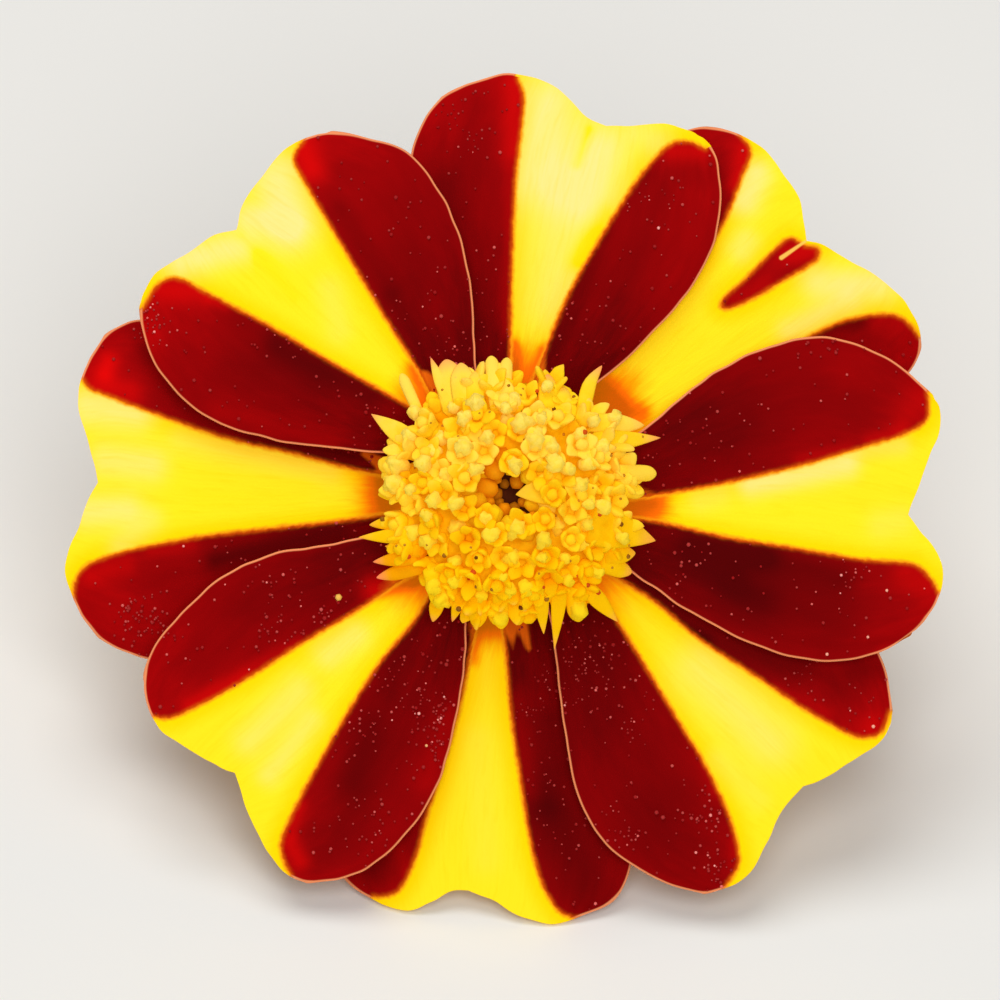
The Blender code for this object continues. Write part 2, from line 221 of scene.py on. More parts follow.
for lamp in LAMPS:
    light_data = bpy.data.lights.new(lamp["name"], "AREA")
    light_data.shape = "DISK"
    light_data.size = lamp["size"]
    light_data.energy = lamp["watts"]
    light_data.color = lamp["colour"]
    light = set_out(lamp["name"], light_data)
    at = Vector(lamp["at"])
    aim = (Vector(LAMP_AIM) - at).to_track_quat("-Z", "Y")
    light.matrix_world = Matrix.Translation(at) @ aim.to_matrix().to_4x4()

surround = bpy.data.worlds.new("surround")
surround.use_nodes = True
background = surround.node_tree.nodes["Background"]
background.inputs["Color"].default_value = (1.0, 1.0, 1.0, 1.0)
background.inputs["Strength"].default_value = SURROUND_STRENGTH
bpy.context.scene.world = surround
bpy.context.scene.view_settings.view_transform = "Standard"
bpy.context.scene.view_settings.look = "None"


# The stalk: a green, finely ribbed tube of pith, cut across at its foot. It swells under the head
# into the receptacle that the cup and the florets grow on, and bends down to the surface.
STEM_SIDES = 96
STEM_STEPS = 60
STEM_RIBS = 12
STEM_RIB = 0.035
STEM_BEND = 36.0
STEM_BEND_RADIUS = 25.0
STEM_SIDEWAYS = 10.0
STEM_TOP = ((2.2, -14.0), (3.3, -14.15), (3.5, -14.6), (3.0, -15.6), (2.45, -16.5), (2.75, -17.15),
            (2.7, -18.2))
STEM_RADII = ((0.0, 2.7), (0.25, 2.1), (0.55, 1.6), (1.0, 1.2))
STEM_TOP_DOME = 0.05
STEM_PITH_SINK = 0.06
STEM_SKIN_ROUND = 1.5
STEM_SKIN_STEP = 0.25
# The cut: a slightly rounded edge, then the pale pith. Each ring is so far in, and stands out so far.
STEM_CUT = ((0.03, -0.04), (0.10, 0.0), (0.22, -0.05), (0.42, -0.02), (0.7, -0.06))


def spline(points, steps=16):
    """A smooth curve through the points."""
    p = [np.array(q, float) for q in points]
    p = [2 * p[0] - p[1]] + p + [2 * p[-1] - p[-2]]
    curve = []
    for a, b, c, d in zip(p, p[1:], p[2:], p[3:]):
        for k in range(steps):
            t = k / steps
            curve.append(0.5 * (2 * b + (c - a) * t + (2 * a - 5 * b + 4 * c - d) * t ** 2
                                + (3 * b - a - 3 * c + d) * t ** 3))
    curve.append(p[-2])
    return np.array(curve)


def keep(mesh, **kept):
    """Keeps whole numbers, numbers or vectors at a mesh's points."""
    for key, values in kept.items():
        values = np.asarray(values)
        if values.dtype.kind == "i":
            kind, field, values = "INT", "value", values.astype(np.int32)
        elif values.ndim == 1:
            kind, field, values = "FLOAT", "value", values.astype(np.float32)
        else:
            kind, field, values = "FLOAT_VECTOR", "vector", values.astype(np.float32)
        mesh.attributes.new(key, kind, "POINT").data.foreach_set(field, values.ravel())


def add_piece(name, points, faces, material, slot, **kept):
    """A finished piece, laid down with the flower, with numbers kept at its points."""
    mesh = bpy.data.meshes.new(name)
    mesh.from_pydata([lay_down @ Vector(p) for p in points], [], [tuple(f) for f in faces])
    mesh.shade_smooth()
    keep(mesh, **kept)
    mesh.materials.append(material)
    piece = set_out(name, mesh)
    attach(piece, "root")
    return piece


def ring_faces(rings, sides):
    """Faces between rings of points that follow each other, seen from outside."""
    k = np.arange(sides)
    m = (k + 1) % sides
    faces = []
    for low in range(0, (rings - 1) * sides, sides):
        high = low + sides
        faces += np.stack((low + k, low + m, high + m, high + k), axis=1).tolist()
    return faces


def capped_faces(rings, sides):
    """The same, closed by two poles whose points follow the rings: the first ring's, then the last's."""
    faces = ring_faces(rings, sides)
    last, low_pole, high_pole = (rings - 1) * sides, rings * sides, rings * sides + 1
    for k in range(sides):
        m = (k + 1) % sides
        faces += [(low_pole, m, k), (last + k, last + m, high_pole)]
    return faces


def stalk_recipe(nodes):
    streak = nodes.pattern("skin", (9.0, 9.0, 0.35), 3.0)
    blush = nodes.pattern("skin", (0.25, 0.25, 0.2))
    speckle = nodes.pattern("skin", (9.0, 9.0, 9.0))
    colour = nodes.coats(
        nodes.mix(nodes.step(streak, 0.2, 0.85), srgb(98, 134, 46), srgb(136, 166, 74)),
        (nodes.step(blush, 0.52, 0.7) * 0.45, srgb(142, 106, 62)),
        (nodes.step(nodes.value("pith"), 0.3, 0.7),
         nodes.mix(speckle, srgb(206, 214, 150), srgb(236, 238, 200))))
    return dict(Base_Color=colour, Normal=nodes.relief(streak * 0.00003 + speckle * 0.00001),
                Roughness=0.42 + streak * 0.15)
    return colour, height, 0.42 + streak * 0.15


stem_rings = [(Vector((0, 0, z)), Vector((0, 0, -1)), r) for r, z in spline(STEM_TOP, 4)]
bend_start = Vector((0, 0, STEM_TOP[-1][1]))
bend_length = math.radians(STEM_BEND) * STEM_BEND_RADIUS
lean = math.sin(math.radians(STEM_SIDEWAYS))
for k in range(1, STEM_STEPS + 1):
    run = k / STEM_STEPS
    turn = math.radians(STEM_BEND) * run
    centre = bend_start + Vector((lean * bend_length * run ** 2 / 2, STEM_BEND_RADIUS * (1 - math.cos(turn)),
                                  -STEM_BEND_RADIUS * math.sin(turn)))
    heading = Vector((lean * run, math.sin(turn), -math.cos(turn))).normalized()
    stem_rings.append((centre, heading, float(np.interp(run, *zip(*STEM_RADII)))))
cut_centre, cut_heading, cut_radius = stem_rings[-1]
for inset, out in STEM_CUT:
    stem_rings.append((cut_centre + cut_heading * out, cut_heading, cut_radius * (1 - inset)))

stem_points, stem_skin, stem_pith = [], [], []
for n, (centre, heading, radius) in enumerate(stem_rings):
    ahead = heading.cross(Vector((1, 0, 0))).normalized()
    across = ahead.cross(heading)
    in_pith = n > len(stem_rings) - len(STEM_CUT)
    for k in range(STEM_SIDES):
        angle = 2 * math.pi * k / STEM_SIDES
        east, north = math.cos(angle), math.sin(angle)
        wide = radius * (1.0 if in_pith else 1 + STEM_RIB * math.cos(STEM_RIBS * angle))
        stem_points.append(centre + (across * east + ahead * north) * wide)
        stem_skin.append((east * STEM_SKIN_ROUND, north * STEM_SKIN_ROUND, n * STEM_SKIN_STEP))
        stem_pith.append(float(in_pith))
stem_points += [Vector((0, 0, STEM_TOP[0][1] + STEM_TOP_DOME)), cut_centre - cut_heading * STEM_PITH_SINK]
stem_skin += [(0, 0, 0), (0, 0, 0)]
stem_pith += [0.0, 1.0]
stalk_skin = finish_material("stalk_skin", stalk_recipe, Roughness=0.5, Specular_IOR_Level=0.35)
stem = add_piece("stem", stem_points, capped_faces(len(stem_rings), STEM_SIDES), stalk_skin, "stem",
                 skin=stem_skin, pith=stem_pith)
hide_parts("stem")


# The cup: eight green bracts grown together round the florets, each ending in a small tooth, with a
# raised rib down its middle and dark oval oil glands under its skin.
CUP_SIDES = 160
CUP_TEETH = 8
CUP_TOOTH_HEIGHT = 1.3
CUP_TOOTH_START = -7.5
CUP_TOOTH_RUN = 1.9
CUP_RIB = 0.12
CUP_CREST = 0.1
CUP_CREST_WIDTH = 0.12
CUP_FOOT = -16.5
CUP_HEIGHT = 10.9
CUP_SKIN_ROUND = 32.0
CUP_OUTSIDE = ((2.75, -16.45), (3.3, -16.4), (4.45, -15.6), (4.95, -13.8), (5.1, -10.5), (5.0, -7.5),
               (4.95, -5.6))
CUP_LIP = ((4.8, -5.42), (4.62, -5.42))
CUP_INSIDE = ((4.5, -5.6), (4.45, -7.5), (4.45, -10.5), (4.3, -13.8), (3.8, -15.4), (2.75, -16.2))


def bract_recipe(nodes):
    up = nodes.value("height")
    streak = nodes.pattern("skin", (14.0, 1.0, 0.0), 3.0)
    inputs = {"Vector": nodes.place("skin", (5.2, 2.3, 0.0)), "Scale": 0.42, "Randomness": 0.55}
    spots = nodes.put("ShaderNodeTexVoronoi", {"feature": "F1"}, inputs, "Distance")
    gland = (1 - nodes.step(spots, 0.16, 0.26)) * nodes.step(up, 0.12, 0.3)
    colour = nodes.coats(
        nodes.mix(nodes.step(streak, 0.3, 0.7), srgb(84, 124, 44), srgb(128, 160, 66)),
        (nodes.step(nodes.value("rib"), 0.4, 1.0) * 0.5, srgb(158, 182, 92)),
        (nodes.step(up, 0.82, 1.0) * 0.6, srgb(120, 92, 50)),
        (gland * 0.8, srgb(96, 74, 26)))
    return dict(Base_Color=colour, Normal=nodes.relief(streak * 0.00003 + gland * 0.00006),
                Roughness=0.4 + streak * 0.15)


cup_points, cup_skin, cup_height, cup_rib = [], [], [], []
cup_outside = [tuple(p) for p in spline(CUP_OUTSIDE, 6)]
cup_profile = cup_outside + list(CUP_LIP) + [tuple(p) for p in spline(CUP_INSIDE, 4)]
for n, (radius, z) in enumerate(cup_profile):
    outside = n < len(cup_outside)
    for k in range(CUP_SIDES):
        angle = 2 * math.pi * k / CUP_SIDES
        rib = math.cos(CUP_TEETH * angle)
        rise = max(0.0, min(1.0, (z - CUP_TOOTH_START) / CUP_TOOTH_RUN)) ** 1.5
        tooth = CUP_TOOTH_HEIGHT * (0.5 + 0.5 * rib) ** 1.2 * rise
        crest = CUP_CREST * math.exp(-((1 - rib) / CUP_CREST_WIDTH))
        wide = radius + (CUP_RIB * rib + crest if outside else 0.0)
        cup_points.append((wide * math.cos(angle), wide * math.sin(angle), z + tooth))
        cup_skin.append((k / CUP_SIDES * CUP_SKIN_ROUND, z, 0.0))
        cup_height.append((z - CUP_FOOT) / CUP_HEIGHT)
        cup_rib.append(0.5 + 0.5 * rib if outside else 0.0)
cup_faces = ring_faces(len(cup_profile), CUP_SIDES)
last = (len(cup_profile) - 1) * CUP_SIDES
for k in range(CUP_SIDES):
    m = (k + 1) % CUP_SIDES
    cup_faces.append((last + k, last + m, m, k))
bract_skin = finish_material("bract_skin", bract_recipe, Roughness=0.45, Specular_IOR_Level=0.4)
cup = add_piece("cup", cup_points, cup_faces, bract_skin, "involucre",
                skin=cup_skin, height=cup_height, rib=cup_rib)
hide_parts("involucre")


# The eight ray petals: thin velvety blades, each on a narrow claw that bends down into the cup, with
# a notch between two round lobes. Each is crimson down both sides and yellow down the middle, with a
# thin peach margin. A half outline runs from the claw along the side and round the lobe to the notch.
# A red edge runs from the claw to the rim, and the red lies between it and that side's outline.
PETAL_COLUMNS = 96
PETAL_ROWS = 100
SIDE_CROWDING = 0.65
RIM_CROWDING = 1.6
PETAL_THICKNESS = 0.24
PETAL_EDGE = 0.6
PETAL_BEAD = 0.05
PETAL_DOME = 0.0030
PETAL_GROOVE = 0.25
PETAL_GROOVE_WIDTH = 0.3
PETAL_WAVE = 0.15
PETAL_SPREAD = 0.35
PETAL_WRINKLE = 0.10
PETAL_WRINKLES = ((5.0, 1.6, 7.3, 1.0), (13.0, 3.0, 3.1, 0.35))
RIM_RIPPLE = 0.08
RIM_RIPPLE_SCALE = 0.8
RIPPLE_SEED = 7
RED_OVERHANG = 1.5
CLAW_RING = 3.6
CLAW_FOOT = -13.8
CLAW_FAN = (-0.6, -0.05)
CLAW_ANGLES = (0.0, 12.0, 25.0, 40.0, 58.0, 74.0)
CLAW_HALF_WIDTHS = (0.8, 1.0, 1.1, 1.2, 1.4, 1.7, 2.2)
# The strokes: the pale ones are cream on the yellow and partly painted highlight; the bright red ones are
# partly painted highlight; the dark ones are painted shade, mostly the shadows that the edges of the
# overlapping petals cast; the orange-red ones at the base are partly painted shade beside the margins of the
# overlapping petals.
PETALS = (
    dict(level=-1.1, rise=0.4, tilt=-0.4,
        clockwise=((3.0, 4.8), (7.3, 8.5), (10.5, 12.2), (11.8, 15.5), (11.8, 18.6), (10.9, 20.2),
            (9.1, 21.1), (7.3, 21.1), (5.4, 21.0)),
        counter=((-2.0, 5.4), (-3.7, 9.1), (-5.2, 13.1), (-5.9, 17.1), (-5.5, 20.3), (-4.1, 22.5),
            (-2.1, 23.6), (0.0, 24.0), (2.4, 23.3), (4.2, 21.6), (5.4, 21.0)),
        clockwise_edge=((0.6, 5.0), (1.6, 7.4), (3.1, 11.1), (5.0, 14.5), (6.8, 17.4), (8.1, 19.1),
            (9.1, 20.0), (10.1, 20.1), (11.0, 19.7)),
        counter_edge=((-0.2, 5.0), (-0.1, 8.8), (0.0, 13.4), (0.2, 18.0), (0.6, 21.6), (0.6, 22.9),
            (0.3, 23.7)),
        pale=(((2.1, 22.2), (1.9, 18.2), 1.7, 1), ((5.0, 19.6), (4.2, 16.8), 1.5, 0.96),
            ((2.7, 17.4), (2.7, 11.1), 1.8, 0.44), ((7.3, 20.7), (8.1, 20.2), 0.9, 0.4),
            ((4.4, 20.8), (3.7, 18.8), 0.3, -0.72), ((5.2, 16.1), (3.7, 13.3), 0.6, -0.4)),
        glow=(((0.1, 23.3), (0.1, 19.6), 0.8, 0.68), ((-0.1, 18.5), (-0.2, 9.4), 0.4, 0.26),
            ((9.1, 19.6), (10.7, 19.6), 0.6, 0.52), ((10.7, 18.5), (8.4, 11.7), 1.6, 0.1)),
        dusk=(((-4.1, 17.4), (-2.1, 9.4), 1.1, 0.44), ((5.0, 14.8), (2.5, 8.5), 0.8, 0.48),
            ((7.3, 18.2), (5.0, 15.1), 0.6, 0.24), ((-2.0, 22.2), (-3.0, 18.5), 1.6, 0.25),
            ((8.5, 16.0), (6.0, 11.5), 1.4, 0.28), ((10.4, 18.6), (8.4, 18.0), 1.2, 0.25)),
        flush=(((0.1, 6.5), (0.1, 8.4), 0.45, 1.0), ((1.6, 6.5), (1.8, 8.2), 0.4, 0.9))),
    dict(level=-2.3, rise=0.9, tilt=0.0,
        clockwise=((5.5, 1.6), (11.0, 3.0), (16.1, 4.0), (20.3, 5.3), (22.8, 7.2), (23.3, 9.1),
            (22.5, 10.9), (21.2, 12.2), (19.2, 13.4), (17.7, 14.3), (16.8, 14.5)),
        counter=((2.3, 5.2), (4.4, 10.5), (6.2, 15.4), (8.0, 19.2), (9.7, 20.7), (11.6, 20.9),
            (13.4, 20.4), (14.6, 19.5), (15.4, 18.4), (16.4, 16.8), (16.8, 14.5)),
        clockwise_edge=((5.4, 2.4), (10.0, 4.6), (14.0, 7.0), (17.1, 9.1), (19.2, 10.0), (21.5, 10.3),
            (22.6, 9.8), (23.2, 9.0)),
        counter_edge=((3.0, 5.0), (7.0, 9.4), (10.3, 12.8), (12.1, 15.6), (13.1, 18.1), (13.6, 19.6),
            (12.9, 20.6)),
        island=((16.7, 14.2), (15.8, 14.6), (14.7, 13.7), (13.3, 12.3), (12.0, 11.1), (12.2, 10.6),
            (13.7, 11.2), (15.4, 12.2), (17.2, 13.3), (17.5, 14.0)),
        pale=(((14.0, 18.2), (13.3, 16.8), 0.8, 0.96), ((17.5, 12.1), (21.0, 12.0), 0.9, 0.8),
            ((13.3, 14.5), (13.0, 14.0), 0.7, 0.4), ((15.8, 9.4), (19.2, 11.1), 0.7, 0.48)),
        glow=(((13.3, 19.6), (12.9, 17.7), 0.6, 0.68), ((15.8, 13.7), (17.1, 14.0), 0.6, 0.52),
            ((12.7, 11.1), (14.4, 12.0), 0.6, 0.3)),
        dusk=(((17.3, 9.4), (19.8, 9.9), 0.6, 0.64), ((11.8, 19.6), (12.3, 16.8), 0.5, 0.24),
            ((21.5, 8.5), (19.8, 9.1), 0.7, 0.24)),
        flush=(((5.6, 5.6), (6.8, 6.4), 1.1, 0.5), ((5.0, 6.0), (5.6, 5.0), 0.8, 1.5),
            ((5.4, 5.0), (7.4, 4.7), 0.6, 0.9))),
    dict(level=0.0, rise=0.3, tilt=0.0,
        clockwise=((4.7, -2.9), (8.1, -5.3), (11.4, -7.4), (14.7, -8.9), (18.0, -9.5), (21.1, -8.9),
            (23.3, -7.3), (24.5, -5.3), (24.3, -3.4), (23.2, -2.0), (22.6, -1.1)),
        counter=((5.1, 1.9), (8.1, 4.3), (11.4, 6.9), (14.6, 8.5), (18.1, 9.0), (21.2, 7.9), (23.5, 6.1),
            (24.4, 4.3), (23.8, 2.3), (22.9, -0.1), (22.6, -1.1)),
        clockwise_edge=((5.2, -1.2), (8.1, -1.5), (12.1, -2.4), (16.4, -3.1), (20.0, -3.7), (22.6, -3.9),
            (23.6, -4.5), (24.2, -5.4), (24.4, -6.0)),
        counter_edge=((5.2, -0.4), (8.1, 0.0), (12.1, 0.7), (16.4, 1.7), (19.8, 2.7), (22.1, 3.4),
            (23.4, 4.1), (23.7, 4.8), (23.6, 5.9)),
        pale=(((13.6, 0.6), (19.0, 1.7), 0.7, 0.85), ((10.7, -0.3), (11.8, 0.0), 0.7, 0.2),
            ((19.8, 2.6), (22.1, 2.8), 0.6, 0.25), ((21.0, -1.7), (22.1, -1.5), 0.8, 0.2)),
        glow=(((22.4, 4.3), (23.3, 5.4), 0.8, 0.3), ((20.4, 3.1), (22.1, 3.6), 0.5, 0.4),
            ((16.4, 2.0), (19.2, 2.7), 0.4, 0.26), ((22.4, -4.6), (23.5, -5.1), 0.9, 0.45),
            ((19.2, 6.8), (22.1, 6.0), 1.4, 0.12)),
        dusk=(((10.1, -2.8), (14.1, -3.4), 1.0, 0.8), ((15.3, -3.7), (18.7, -4.6), 1.0, 0.48),
            ((10.7, 3.1), (13.0, 3.7), 2.0, 0.24), ((14.1, -6.0), (10.7, -4.3), 1.3, 0.4),
            ((9.0, 2.2), (12.0, 4.0), 1.8, 0.25), ((14.0, 5.5), (17.0, 6.0), 2.0, 0.2),
            ((21.5, 6.5), (20.0, 5.6), 1.8, 0.3), ((9.0, -3.4), (12.0, -4.6), 1.4, 0.35),
            ((13.5, -5.6), (18.0, -6.8), 2.2, 0.5)),
        flush=(((6.5, -0.4), (8.0, -0.5), 0.9, 1.1),)),
    dict(level=-1.1, rise=0.4, tilt=-0.3,
        clockwise=((1.9, -5.4), (2.5, -9.4), (3.0, -13.7), (3.7, -17.0), (5.0, -19.5), (6.8, -21.1),
            (9.3, -22.3), (11.4, -22.6), (13.4, -21.7), (14.5, -19.8), (15.4, -18.1), (16.6, -16.6)),
        counter=((5.3, -2.1), (10.9, -3.7), (15.5, -4.8), (19.1, -6.4), (21.0, -9.1), (21.6, -11.7),
            (21.2, -13.8), (19.5, -15.1), (17.7, -16.2), (16.6, -16.6)),
        clockwise_edge=((4.2, -4.6), (5.9, -7.1), (7.9, -10.3), (9.6, -13.1), (11.0, -15.4), (12.3, -18.2),
            (12.9, -20.3), (12.8, -21.3), (12.0, -22.5)),
        counter_edge=((4.7, -4.0), (7.9, -5.9), (10.7, -8.2), (13.6, -10.1), (16.4, -12.0), (19.2, -13.6),
            (20.4, -13.8), (21.1, -13.4), (21.5, -12.3)),
        pale=(((10.7, -10.0), (14.7, -14.0), 1.5, 0.42), ((11.8, -15.1), (14.1, -17.4), 0.7, 0.15)),
        glow=(((20.4, -13.3), (20.7, -12.9), 0.6, 0.45), ((10.7, -14.0), (11.6, -16.8), 0.6, 0.26),
            ((12.7, -19.6), (12.7, -21.1), 0.4, 0.3), ((15.0, -11.1), (18.1, -12.4), 0.4, 0.22)),
        dusk=(((6.7, -5.4), (10.7, -8.3), 0.8, 0.8), ((10.7, -8.5), (16.4, -9.7), 1.0, 0.48),
            ((5.0, -8.3), (5.0, -12.8), 2.0, 0.4), ((7.3, -15.1), (7.9, -19.6), 2.0, 0.2),
            ((18.7, -11.1), (19.8, -10.0), 1.3, 0.4), ((11.2, -21.8), (9.2, -18.4), 3.0, 0.4))),
    dict(level=-2.3, rise=0.9, tilt=0.0,
        clockwise=((-2.8, -5.0), (-6.1, -9.7), (-9.1, -13.5), (-10.8, -17.7), (-10.1, -20.9),
            (-8.7, -22.6), (-6.2, -23.7), (-4.6, -23.2), (-3.5, -22.6), (-2.5, -22.6)),
        counter=((1.9, -5.4), (4.1, -10.6), (5.9, -14.6), (6.9, -18.2), (6.8, -21.1), (5.6, -23.2),
            (2.7, -24.4), (0.7, -24.1), (-1.1, -23.1), (-2.5, -22.6)),
        clockwise_edge=((-1.4, -5.2), (-2.1, -7.7), (-2.9, -11.6), (-3.9, -15.2), (-4.9, -18.4),
            (-5.5, -20.6), (-6.2, -22.2), (-6.9, -22.8), (-8.0, -22.9)),
        counter_edge=((-0.7, -5.4), (-0.3, -9.4), (0.0, -12.8), (0.5, -16.2), (1.0, -19.4), (1.6, -21.8),
            (2.4, -23.4), (3.2, -24.0), (4.2, -24.1)),
        pale=(((-1.8, -14.0), (-1.5, -20.8), 0.9, 0.08),),
        glow=(((-6.4, -20.2), (-5.9, -21.4), 0.6, 0.3), ((0.4, -11.7), (1.0, -16.8), 0.7, 0.14)),
        dusk=(((-7.8, -21.4), (-6.7, -20.2), 1.2, 0.64), ((1.9, -17.4), (4.4, -21.9), 2.2, 0.35),
            ((2.7, -12.8), (3.3, -15.1), 1.1, 0.4), ((1.4, -13.0), (1.9, -17.5), 1.3, 0.45),
            ((4.2, -23.4), (3.0, -19.5), 2.6, 0.4)),
        flush=(((-1.6, -7.4), (-0.3, -7.5), 0.7, 0.9), ((-2.2, -7.6), (-2.25, -9.4), 0.45, 1.0),
            ((-0.1, -7.4), (0.05, -8.9), 0.28, 1.0), ((0.5, -7.1), (0.95, -8.8), 0.34, 1.4))),
    dict(level=0.0, rise=0.3, tilt=0.0,
        clockwise=((-5.5, -1.5), (-9.8, -2.7), (-13.5, -3.3), (-16.6, -4.7), (-19.2, -7.1), (-20.6, -9.1),
            (-20.9, -11.3), (-20.0, -13.4), (-18.3, -14.5), (-16.9, -15.4), (-15.8, -15.8)),
        counter=((-2.7, -5.0), (-2.6, -8.5), (-3.1, -12.2), (-4.0, -15.9), (-5.6, -18.8), (-8.0, -21.1),
            (-10.6, -22.0), (-12.8, -21.6), (-14.2, -19.8), (-15.1, -17.9), (-15.8, -15.8)),
        clockwise_edge=((-4.2, -3.8), (-6.4, -4.9), (-8.6, -6.4), (-12.1, -8.5), (-15.2, -10.5),
            (-18.1, -12.1), (-19.6, -12.7), (-20.8, -12.5)),
        counter_edge=((-4.0, -4.4), (-5.5, -7.1), (-7.4, -9.4), (-9.1, -12.0), (-10.6, -14.6),
            (-11.9, -17.0), (-13.0, -19.3), (-13.1, -20.4), (-12.5, -21.8)),
        pale=(((-10.4, -9.1), (-8.9, -8.0), 0.8, 0.5), ((-12.1, -11.1), (-14.9, -14.0), 0.9, 0.4),
            ((-11.5, -12.8), (-13.8, -15.9), 0.7, 0.4)),
        glow=(((-18.3, -12.0), (-15.2, -10.3), 0.6, 0.68), ((-14.4, -9.7), (-12.1, -8.5), 0.5, 0.38),
            ((-12.6, -19.9), (-12.1, -20.8), 0.6, 0.68), ((-12.1, -17.7), (-12.6, -19.1), 0.5, 0.52),
            ((-6.4, -4.8), (-7.8, -5.4), 0.8, 0.68), ((-4.9, -16.2), (-3.6, -12.6), 0.8, 0.2)),
        dusk=(((-6.4, -7.7), (-6.9, -11.1), 1.1, 0.56), ((-8.1, -12.8), (-9.2, -16.2), 1.1, 0.4),
            ((-10.4, -4.3), (-7.5, -3.7), 1.3, 0.32), ((-14.9, -6.0), (-12.1, -5.4), 2.0, 0.24),
            ((-7.2, -14.0), (-8.8, -17.5), 1.8, 0.42), ((-11.6, -20.4), (-10.0, -19.6), 1.6, 0.35),
            ((-19.4, -11.4), (-18.0, -9.6), 1.5, 0.15)),
        flush=(((-7.5, -5.3), (-5.2, -4.6), 0.6, 1.1), ((-6.9, -4.6), (-5.6, -4.9), 0.3, 1.0))),
    dict(level=-2.3, rise=0.9, tilt=0.0,
        clockwise=((-5.2, 2.4), (-10.1, 5.1), (-14.2, 7.6), (-18.1, 9.4), (-21.2, 10.0), (-23.2, 9.0),
            (-24.3, 7.2), (-24.8, 5.4), (-24.2, 3.1), (-23.6, 0.7)),
        counter=((-5.2, -2.4), (-10.1, -5.0), (-14.2, -7.6), (-17.8, -9.1), (-20.6, -9.4), (-23.3, -8.3),
            (-24.9, -6.2), (-25.5, -4.0), (-24.7, -1.7), (-24.1, -0.1), (-23.6, 0.7)),
        clockwise_edge=((-5.2, 0.8), (-8.7, 1.4), (-12.6, 2.4), (-16.1, 3.2), (-19.4, 4.3), (-22.9, 5.6),
            (-24.1, 6.1), (-24.6, 6.8)),
        counter_edge=((-5.2, -0.8), (-9.2, -1.4), (-13.5, -1.9), (-17.8, -2.4), (-21.5, -3.1),
            (-23.8, -3.8), (-24.7, -4.5), (-25.0, -5.6), (-24.8, -6.6)),
        pale=(((-24.2, 5.0), (-21.5, 4.8), 1.0, 0.8), ((-23.2, 2.0), (-20.6, 1.7), 0.9, 0.6),
            ((-24.3, -1.0), (-22.0, -0.9), 0.9, 0.7), ((-18.9, 3.1), (-10.4, 1.4), 0.8, 0.15),
            ((-20.6, -1.4), (-22.3, -2.8), 0.7, 0.32), ((-17.8, -0.3), (-12.1, -0.3), 0.8, -0.24)),
        glow=(((-23.7, 6.3), (-21.8, 5.9), 0.8, 0.6), ((-23.0, 7.6), (-23.2, 7.0), 0.6, 0.98),
            ((-24.0, -4.6), (-22.0, -4.0), 0.6, 0.45), ((-18.3, -2.8), (-20.6, -3.2), 0.4, 0.3)),
        dusk=(((-14.9, 2.8), (-9.2, 2.0), 0.6, 0.6), ((-16.9, -3.7), (-9.8, -2.0), 0.7, 0.88),
            ((-21.8, 9.4), (-20.6, 7.7), 0.6, 0.24)),
        flush=(((-7.6, 0.7), (-7.5, -0.8), 1.1, 0.5), ((-7.3, 1.2), (-7.2, -0.4), 0.5, 1.1),
            ((-8.5, 2.4), (-7.2, 1.7), 0.35, 1.6))),
    dict(level=0.0, rise=0.3, tilt=0.0,
        clockwise=((-1.9, 5.4), (-2.1, 8.5), (-2.4, 12.5), (-3.6, 16.4), (-5.9, 19.5), (-8.2, 20.3),
            (-10.6, 20.6), (-12.8, 19.8), (-14.4, 17.9), (-15.3, 16.5), (-15.7, 15.1)),
        counter=((-5.4, 2.2), (-9.8, 2.6), (-13.8, 3.2), (-17.3, 4.4), (-20.0, 6.9), (-21.1, 9.9),
            (-20.6, 12.2), (-18.6, 13.7), (-17.1, 14.7), (-15.7, 15.1)),
        clockwise_edge=((-3.9, 4.2), (-5.2, 6.9), (-7.2, 10.1), (-9.0, 13.1), (-10.6, 15.8), (-12.0, 18.2),
            (-12.4, 19.2), (-11.7, 20.4)),
        counter_edge=((-4.2, 4.0), (-6.7, 5.5), (-10.4, 7.6), (-13.8, 9.6), (-17.2, 11.4), (-19.0, 12.3),
            (-20.1, 12.0), (-21.0, 10.6)),
        pale=(((-13.4, 18.0), (-12.7, 15.3), 1.3, 1.0), ((-15.0, 15.8), (-12.6, 15.4), 0.8, 0.8),
            ((-18.9, 13.3), (-15.4, 14.2), 0.9, 1.0), ((-10.4, 11.7), (-9.8, 9.4), 0.8, 0.2),
            ((-15.4, 14.7), (-12.4, 11.3), 0.4, -0.5)),
        glow=(((-11.8, 19.6), (-11.4, 18.6), 0.9, 0.9), ((-19.8, 11.7), (-17.8, 11.6), 0.8, 0.68),
            ((-17.2, 11.1), (-16.3, 10.9), 0.4, 0.45), ((-7.5, 17.4), (-7.2, 15.7), 1.6, 0.1),
            ((-16.6, 4.8), (-10.4, 3.1), 0.9, 0.2), ((-20.6, 9.4), (-20.5, 9.1), 0.9, 0.22)),
        dusk=(((-13.2, 8.5), (-8.1, 5.7), 1.0, 0.72), ((-9.8, 16.2), (-6.9, 11.7), 0.7, 0.32),
            ((-6.7, 11.1), (-4.7, 8.3), 0.8, 0.4), ((-15.5, 10.0), (-13.8, 9.4), 0.8, 0.24),
            ((-6.8, 16.5), (-5.4, 12.5), 1.4, 0.3), ((-15.2, 7.6), (-11.5, 6.2), 1.4, 0.3)),
        flush=(((-5.6, 7.2), (-4.6, 5.8), 0.6, 0.8), ((-4.9, 6.8), (-4.0, 6.0), 0.4, 1.2))),
)


def along(curve, fractions):
    """Points at fractions of the curve's length."""
    run = np.concatenate(([0.0], np.cumsum(np.linalg.norm(np.diff(curve, axis=0), axis=1))))
    return np.stack([np.interp(np.asarray(fractions) * run[-1], run, curve[:, k]) for k in (0, 1)], axis=-1)


def smooth_step(x):
    x = np.clip(x, 0.0, 1.0)
    return x * x * (3.0 - 2.0 * x)


